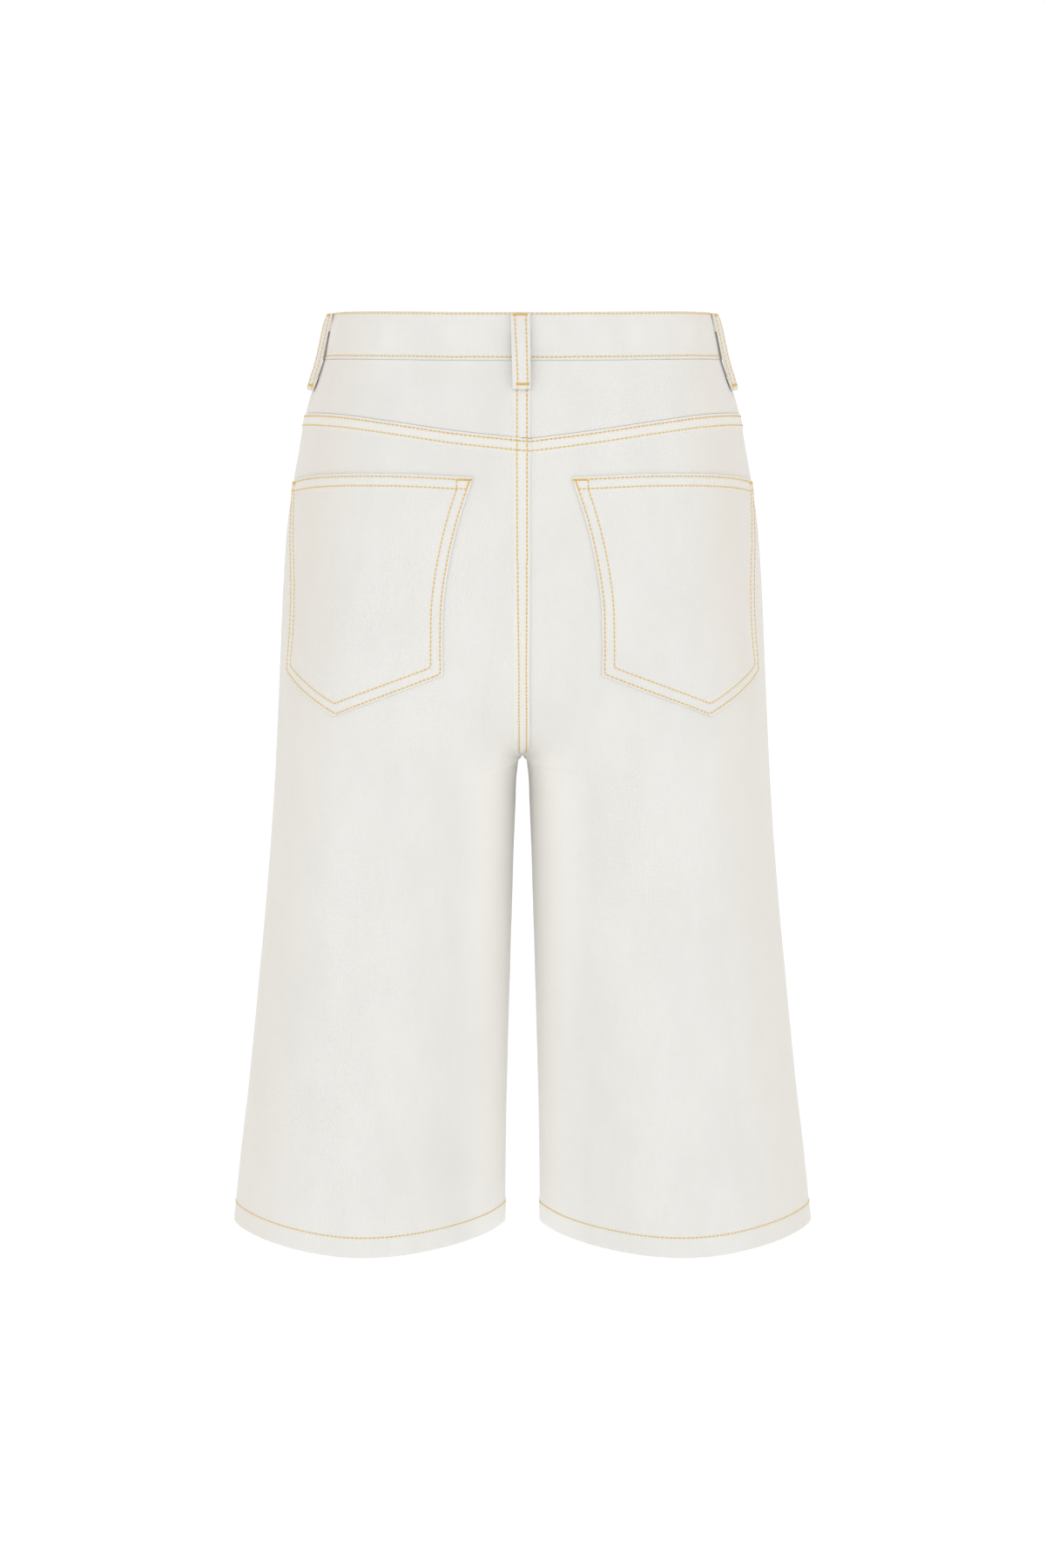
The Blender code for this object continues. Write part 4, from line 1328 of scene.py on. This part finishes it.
def tone(red, green, blue):
    """Colour as a shader takes it, from the brightness a screen shows, 0 to 255."""
    return tuple((v / 255 / 12.92 if v < 11 else ((v / 255 + 0.055) / 1.055) ** 2.4)
                 for v in (red, green, blue)) + (1.0,)


TWILL = 1.15                # millimetres between the ribs of the denim
TAPE_RIB = 0.8              # millimetres between the ribs of the zip tape


def denim_finish(name):
    """Undyed cotton twill: fine diagonal ribs and uneven yarns, painted highlight on raised seams,
    painted shade in their grooves, painted warm shade towards the side seams and painted light along
    the inseams."""
    f = Finish(name, Sheen_Weight=0.35, Sheen_Roughness=0.5, Specular_IOR_Level=0.25)
    girth, height, sewn = f.marks()
    rib = f.maths("SINE", (girth * 0.85 + height) * (2 * math.pi / TWILL)) * 0.5 + 0.5
    yarn_place = f.node("ShaderNodeCombineXYZ", X=girth * 2.2, Y=height * 0.045, Z=0.0)
    yarn = f.noise(yarn_place, 1.0, 3.0, 0.65)
    weft_place = f.node("ShaderNodeCombineXYZ", X=girth * 0.06, Y=height * 2.6, Z=7.0)
    weft = f.noise(weft_place, 1.0, 2.0, 0.6)
    cloud = f.noise(f.position(), 9.0, 3.0)
    patch = f.noise(f.position((1.0, 1.0, 0.45)), 34.0, 2.0)
    base = f.mix(f.ramp(cloud, 0.3, 0.7), tone(232, 231, 227), tone(236, 234, 230))
    base = f.mix(f.ramp(patch, 0.35, 0.65) * 0.5, base, tone(239, 238, 234))
    base = f.mix(f.ramp(yarn, 0.35, 0.75) * 0.3, base, tone(226, 223, 216))
    base = f.mix(f.ramp(weft, 0.5, 0.8) * 0.25, base, tone(243, 242, 238))
    # Darker in the grooves between the twill ribs: partly the weave's pattern and partly painted shade.
    base = f.mix((1 - rib) * 0.1, base, tone(218, 214, 206))
    # Painted warm shade towards the side seams, where the sides turn away from the light.
    x, _, z = f.parts(f.position())
    aside = f.maths("ABSOLUTE", x)
    side = aside / (0.14 - z * 0.125)
    base = f.mix(f.ramp(side, 0.7, 1.0) * 0.5, base, tone(227, 220, 208))
    # Painted light along the inner legs near the inseams, lifting the shade between the legs; less of
    # it towards the hem.
    inseam = f.ramp(aside, 0.056, 0.016) * f.ramp(z, -0.27, -0.34)
    inseam = inseam * (0.95 - f.ramp(z, -0.6, -0.67) * 0.3)
    base = f.mix(inseam, base, tone(253, 251, 246))
    # Painted highlight on the raised seams, hems and band, lighter the more the cloth stands up.
    painted_ridge_light = f.ramp(sewn, 0.35, 0.75)
    base = f.mix(painted_ridge_light * 0.35, base, tone(244, 241, 232))
    # Painted shade in the grooves that stitch rows and seams draw into the cloth.
    dip = f.ramp(sewn, -0.05, -0.35)
    base = f.mix(dip * 0.2, base, tone(221, 215, 203))
    roughness = 0.86 + (yarn - 0.5) * 0.12
    relief = rib * 0.05 + yarn * 0.11 + weft * 0.07
    return f.finish(base, roughness, relief)


def thread_finish(name):
    """Golden two-ply topstitching thread, with painted shade between its plies."""
    f = Finish(name, Sheen_Weight=0.2, Sheen_Roughness=0.4, Specular_IOR_Level=0.4)
    around, along, strength = f.marks()
    twist = f.maths("SINE", (along * 1.1 + around) * (2 * math.pi)) * 0.5 + 0.5
    fibre = f.noise(f.position(), 900.0, 2.0)
    colour = f.mix(f.ramp(strength, 0.2, 0.9), tone(240, 209, 128), tone(237, 194, 92))
    # Painted shade in the grooves between the plies.
    colour = f.mix((1 - twist) * 0.4, colour, tone(208, 162, 84))
    colour = f.mix(fibre * 0.25, colour, tone(246, 220, 154))
    return f.finish(colour, 0.55 + fibre * 0.15, twist * 0.12 + fibre * 0.05)


def tape_finish(name):
    """Zip tape: fine herringbone of flat yarns."""
    f = Finish(name, Sheen_Weight=0.1, Specular_IOR_Level=0.3)
    girth, height, _ = f.marks()
    zigzag = f.maths("PINGPONG", girth, 1.2)
    rib = f.maths("SINE", (height + zigzag * 0.9) * (2 * math.pi / TAPE_RIB)) * 0.5 + 0.5
    cloud = f.noise(f.position(), 40.0, 3.0)
    colour = f.mix(rib, tone(206, 200, 186), tone(226, 221, 209))
    colour = f.mix(cloud * 0.3, colour, tone(198, 190, 174))
    return f.finish(colour, 0.75 + cloud * 0.1, rib * 0.08)


def brass_finish(name):
    """Brushed brass, darker in small scattered spots and worn brighter and smoother in patches."""
    f = Finish(name, Metallic=1.0)
    here = f.position()
    brush = f.noise(f.position((60.0, 60.0, 1500.0)), 1.0, 3.0, 0.7)
    wear = f.ramp(f.noise(here, 420.0, 4.0, 0.6), 0.42, 0.68)
    spots = f.ramp(f.noise(here, 1500.0, 2.0), 0.62, 0.75)
    colour = f.mix(wear, tone(184, 147, 86), tone(210, 176, 112))
    colour = f.mix(spots * 0.3, colour, tone(132, 98, 52))
    roughness = 0.42 - wear * 0.14 + brush * 0.12
    return f.finish(colour, roughness, brush * 0.02 + wear * 0.015)


# ---- hard pieces, in millimetres from their own middle until they are placed ----

def select(test):
    """In edit mode, select the faces whose middle and normal pass a test."""
    edit = bmesh.from_edit_mesh(bpy.context.edit_object.data)
    for face in edit.faces:
        face.select_set(test(face.calc_center_median() / MM, face.normal))
    edit.select_flush_mode()
    bmesh.update_edit_mesh(bpy.context.edit_object.data)


def start(shape, **sizes):
    """Add a primitive alone and open it in edit mode."""
    bpy.ops.object.select_all(action="DESELECT")
    getattr(bpy.ops.mesh, f"primitive_{shape}_add")(**sizes)
    bpy.ops.object.mode_set(mode="EDIT")
    bpy.ops.mesh.select_mode(type="FACE")
    return bpy.context.object


def block(x, y, z, middle=0.0):
    """Start from a box of a size, whose middle lies along X."""
    piece = start("cube", size=1.0, location=(middle * MM, 0, 0))
    bpy.ops.transform.resize(value=(x * MM, y * MM, z * MM))
    return piece


def disc(radius, depth, middle, vertices):
    """Start from a disc of a size, whose middle lies along Z."""
    return start("cylinder", vertices=vertices, radius=radius * MM, depth=depth * MM,
                 location=(0, 0, middle * MM))


def extrude(x=0.0, z=0.0):
    """Extrude the selected faces by a distance."""
    bpy.ops.mesh.extrude_region_move(TRANSFORM_OT_translate={"value": (x * MM, 0, z * MM)})


def apply_place():
    """Put the place of the selected object in its mesh."""
    bpy.ops.object.transform_apply(location=True, rotation=True, scale=True)


def inset(thickness, move=0.0):
    """Inset the selected faces and move them up by a distance."""
    bpy.ops.mesh.inset(thickness=thickness * MM)
    bpy.ops.transform.translate(value=(0, 0, move * MM))


def rounded(piece, width, segments=3, angle=35):
    """Leave edit mode and round the sharp edges."""
    bpy.ops.object.mode_set(mode="OBJECT")
    edges = piece.modifiers.new("rounding", "BEVEL")
    edges.width = width * MM
    edges.segments = segments
    edges.limit_method = "ANGLE"
    edges.angle_limit = math.radians(angle)
    bpy.ops.object.modifier_apply(modifier="rounding")
    bpy.ops.object.shade_smooth_by_angle(angle=math.radians(45))


def front_matrix(from_middle, height, off):
    """Frame on the left front: Z straight out of the cloth, X towards the wearer's left."""
    point, out = place(height, full_girth(height) - from_middle, 1, off)
    out = Vector(out)
    side = Vector((0, 0, 1)).cross(out).normalized()
    frame_axes = Matrix((side, out.cross(side), out)).transposed()
    return Matrix.Translation(Vector(point) * MM) @ frame_axes.to_4x4()


def settle(piece, name, matrix, finish):
    """Name a finished piece, put its place in its mesh and let it ride on the garment."""
    piece.name = piece.data.name = name
    apply_place()
    piece.data.transform(matrix)
    piece.data.materials.clear()
    piece.data.materials.append(finish)
    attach(piece, "root")
    return piece


def waist_button(name, finish):
    """Plain shank button: a rimmed head with a low dome, on a neck through the buttonhole."""
    piece = disc(BUTTON_RADIUS, 2.2, 1.55, 64)
    select(lambda middle, normal: normal.z > 0.9)
    inset(1.1)
    inset(0.5, -0.55)
    inset(0.9, -0.1)
    for width in (2.0, 1.7, 1.4):
        inset(width, 0.16)
    select(lambda middle, normal: normal.z < -0.9)
    inset(BUTTON_RADIUS - TACK_CAP_RADIUS)
    inset(1.0)
    extrude(z=-2.6)
    rounded(piece, 0.28)
    return settle(piece, name, front_matrix(BUTTON_FROM_MIDDLE, 0.0, BAND_PROUD), finish)


def button_back(name, finish):
    """Tack cap of the button on the inner side of the underlap."""
    piece = disc(TACK_CAP_RADIUS, 0.7, -0.35, 40)
    select(lambda middle, normal: normal.z < -0.9)
    inset(0.9, -0.35)
    inset(1.2, -0.15)
    rounded(piece, 0.2)
    off = BAND_PROUD - BAND_STEP - BAND_CLOTH
    return settle(piece, name, front_matrix(BUTTON_FROM_MIDDLE, 0.0, off), finish)


def zip_slider(name, finish):
    """Slider of the closed zip: a waisted body with a low bridge that holds the flat puller."""
    piece = block(5.6, 7.6, 1.5)
    bpy.ops.mesh.subdivide(number_cuts=3)
    select(lambda middle, normal: middle.y < -1.8)
    bpy.ops.transform.resize(value=(0.72, 1.0, 1.0))
    select(lambda middle, normal: normal.z > 0.9 and abs(middle.x) < 1.3 and middle.y > -1.0)
    extrude(z=0.35)
    bpy.ops.transform.resize(value=(0.6, 0.9, 1.0))
    rounded(piece, 0.22)
    return settle(piece, name, front_matrix(ZIP_MIDDLE, SLIDER_MIDDLE, -ZIP_SINK - 1.35), finish)


def zip_puller(name, finish):
    """Flat puller with a long slot, lying down on the slider."""
    piece = block(3.4, 6.6, 0.5)
    select(lambda middle, normal: abs(normal.z) > 0.9)
    inset(0.9)
    bpy.ops.mesh.bridge_edge_loops()
    rounded(piece, 0.12, 2)
    return settle(piece, name, front_matrix(ZIP_MIDDLE, PULLER_MIDDLE, -ZIP_SINK + 0.02), finish)


def zip_teeth(name, finish):
    """Chain of brass teeth: one tooth, repeated alternately along the two tapes."""
    tooth = block(2.6, 0.72, 1.8)
    select(lambda middle, normal: normal.x > 0.9)
    extrude(x=0.5)
    bpy.ops.transform.resize(value=(1.0, 0.8, 0.6))
    bpy.ops.object.mode_set(mode="OBJECT")
    apply_place()
    shape = np.array([v.co for v in tooth.data.vertices])
    sides = [list(face.vertices) for face in tooth.data.polygons]
    bpy.data.objects.remove(tooth, do_unlink=True)
    points, faces = [], []
    for k, height in enumerate(spaced((ZIP_TOP - 1.0, FLY_END + 8.0, TOOTH_PITCH))):
        side = 1 if k % 2 else -1
        matrix = front_matrix(ZIP_MIDDLE + 0.75 * side, float(height), -ZIP_SINK - 0.95)
        turn = np.array(matrix.to_3x3()) * (-side, 1, 1)
        faces += [[len(shape) * k + corner for corner in face[::-side]] for face in sides]
        points.append((shape @ turn.T + np.array(matrix.translation)) / MM)
    return add_piece(name, np.concatenate(points), faces, finish)


def cut_buttonhole(band):
    """Cut the round eye and the slit in the lapped end of the band."""
    matrix = front_matrix(BUTTON_FROM_MIDDLE, 0.0, BAND_PROUD)
    for make, sizes in ((disc, (HOLE_RADIUS, 6.0, 0.0, 32)),
                        (block, (SLIT_LENGTH, 0.8, 6.0, SLIT_LENGTH / 2))):
        cutter = make(*sizes)
        bpy.ops.object.mode_set(mode="OBJECT")
        apply_place()
        cutter.data.transform(matrix)
        cut = band.modifiers.new("buttonhole", "BOOLEAN")
        cut.operation = "DIFFERENCE"
        cut.solver = "MANIFOLD"
        cut.object = cutter
        bpy.ops.object.select_all(action="DESELECT")
        band.select_set(True)
        bpy.context.view_layer.objects.active = band
        bpy.ops.object.modifier_apply(modifier="buttonhole")
        bpy.data.objects.remove(cutter, do_unlink=True)


def buttonhole_sewing(finish):
    """Whipped edge of the buttonhole, over its eye and both sides of its slit."""
    turn = np.radians(np.linspace(8.0, 352.0, 46))
    eye = np.stack([np.cos(turn), np.sin(turn)], axis=-1)
    run = spaced((HOLE_RADIUS + 0.4, SLIT_LENGTH, 0.55))
    edges = [HOLE_RADIUS * eye]
    aways = [eye]
    for side in (1, -1):
        edges.append(np.stack([run, 0 * run + 0.4 * side], axis=-1))
        aways.append(np.stack([0 * run, 0 * run + side], axis=-1))
    edge, away = np.concatenate(edges), np.concatenate(aways)

    def on_band(spots):
        girth = full_girth(spots[:, 1]) - BUTTON_FROM_MIDDLE - spots[:, 0]
        return place(spots[:, 1], girth, 1, BAND_PROUD + band_relief(spots[:, 1], girth))

    sewing = Sewing()
    inner, out = on_band(edge - 0.1 * away)
    sewing.add(inner, on_band(edge + 1.7 * away)[0], out, radius=0.26, strength=0.8)
    return sewing.piece("buttonhole_stitches", finish)


# ---- putting the garment together ----

def dress():
    denim = denim_finish("ecru_denim")
    thread = thread_finish("golden_thread")
    tape = tape_finish("zip_tape")
    brass = brass_finish("brushed_brass")
    cloth = {"waistband": waistband("waistband_cloth", denim)}
    cut_buttonhole(cloth["waistband"])
    panels = (("yoke", yoke), ("back", back_panel), ("front", front_panel), ("pocket", pocket))
    for side, half in (("left", 1), ("right", -1)):
        for kind, make in panels:
            cloth[f"{kind}_{side}"] = make(f"{kind}_{side}_cloth", half, denim)
    for node, spot in LOOP_SPOTS.items():
        cloth[node] = belt_loop(f"{node}_cloth", spot, denim)
    cloth["fly_shield"] = fly_shield("fly_shield_cloth", denim)
    cloth["fly_zip"] = fly_zip("fly_zip_tape", tape)
    held = {node: ("waistband",) for node in cloth}
    held["waistband"] = ()
    for side in ("left", "right"):
        held[f"back_{side}"] = (f"yoke_{side}",)
        held[f"pocket_{side}"] = (f"back_{side}",)
    for node, piece in cloth.items():
        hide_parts(node)
        "zip_tape" if node == "fly_zip" else "denim"
    for sew in (back_sewing, pocket_sewing, hem_sewing, front_sewing, band_sewing, loop_sewing,
                buttonhole_sewing):
        sew(thread)
    for node, make in (("waist_button", waist_button), ("zip_slider", zip_slider)):
        piece = make(f"{node}_brass", brass)
        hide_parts(node)
    for make in (button_back, zip_puller, zip_teeth):
        make(make.__name__, brass)


# ---- studio, in metres ----

FLOOR = -1.6                # far enough below for the garment to hang free
PAPER_FLAT = 6.5            # where the round paper floor starts to turn up
PAPER_COVE = 1.5            # radius of that turn
PAPER_TOP = 5.0             # top of its wall above the floor
PAPER_GLOW = 0.13
SKY = 0.815
LAMPS = (
    ("front_light", (2.4, 2.4), 8.0, (0.1, 3.2, 1.0)),
    ("top_light", (3.0, 2.0), 5.0, (-0.6, 0.9, 3.0)),
)
LAMP_AIM = (0.0, 0.0, -0.34)
CAMERA_LENS = 90.0
CAMERA_PLACE = (0.0, 2.960, 0.118)
CAMERA_TILT = 81.1184


def paper_bowl():
    """Pale paper floor, a wide bowl that curves up all round the garment."""
    paper = Finish("pale_paper", Specular_IOR_Level=0.1, Emission_Color=tone(255, 255, 255),
                   Emission_Strength=PAPER_GLOW)
    grain = paper.noise(paper.position(), 60.0, 3.0)
    colour = paper.mix(grain, tone(252, 252, 252), tone(255, 255, 255))
    paper.finish(colour, 0.9 + grain * 0.05, grain * 0.05)
    turn = np.linspace(0.0, math.pi / 2, 13)
    cove = zip(PAPER_FLAT + PAPER_COVE * np.sin(turn), FLOOR + PAPER_COVE * (1 - np.cos(turn)))
    wall = (PAPER_FLAT + PAPER_COVE, FLOOR + PAPER_TOP)
    profile = [(0.02, FLOOR), (2.0, FLOOR), *cove, wall]
    around = np.radians(np.arange(0, 360, 5))
    points = [(r * np.sin(a), r * np.cos(a), z) for r, z in profile for a in around]
    here = np.arange(len(points)).reshape(len(profile), -1)
    after = np.roll(here, -1, axis=1)
    faces = np.stack([here[:-1], after[:-1], after[1:], here[1:]], axis=-1).reshape(-1, 4)
    mesh = bpy.data.meshes.new("paper_backdrop")
    mesh.from_pydata(points, [], faces.tolist() + [here[0, ::-1].tolist()])
    mesh.materials.append(paper.material)
    mesh.shade_smooth()
    backdrop = add_object("paper_backdrop", mesh)


def lamp(name, size, power, location):
    """Soft light aimed at the garment, unseen itself."""
    light = bpy.data.lights.new(name, "AREA")
    light.shape = "RECTANGLE"
    light.size, light.size_y = size
    light.energy = power
    made = add_object(name, light)
    made.visible_camera = False
    made.location = location
    aim = Vector(LAMP_AIM) - Vector(location)
    made.rotation_euler = aim.to_track_quat("-Z", "Y").to_euler()


def studio():
    """Backdrop, even white surroundings, soft lights and the camera at the back."""
    paper_bowl()
    world = bpy.data.worlds.new("studio")
    world.use_nodes = True
    sky = world.node_tree.nodes["Background"].inputs
    sky["Color"].default_value = (1.0, 1.0, 1.0, 1.0)
    sky["Strength"].default_value = SKY
    bpy.context.scene.world = world
    for row in LAMPS:
        lamp(*row)
    bpy.context.scene.view_settings.view_transform = "Standard"
    lens = bpy.data.cameras.new("camera")
    lens.lens = CAMERA_LENS
    lens.sensor_width = 36.0
    camera = add_object("camera", lens)
    camera.location = CAMERA_PLACE
    camera.rotation_euler = (math.radians(CAMERA_TILT), 0.0, math.pi)
    bpy.context.scene.camera = camera


dress()
studio()
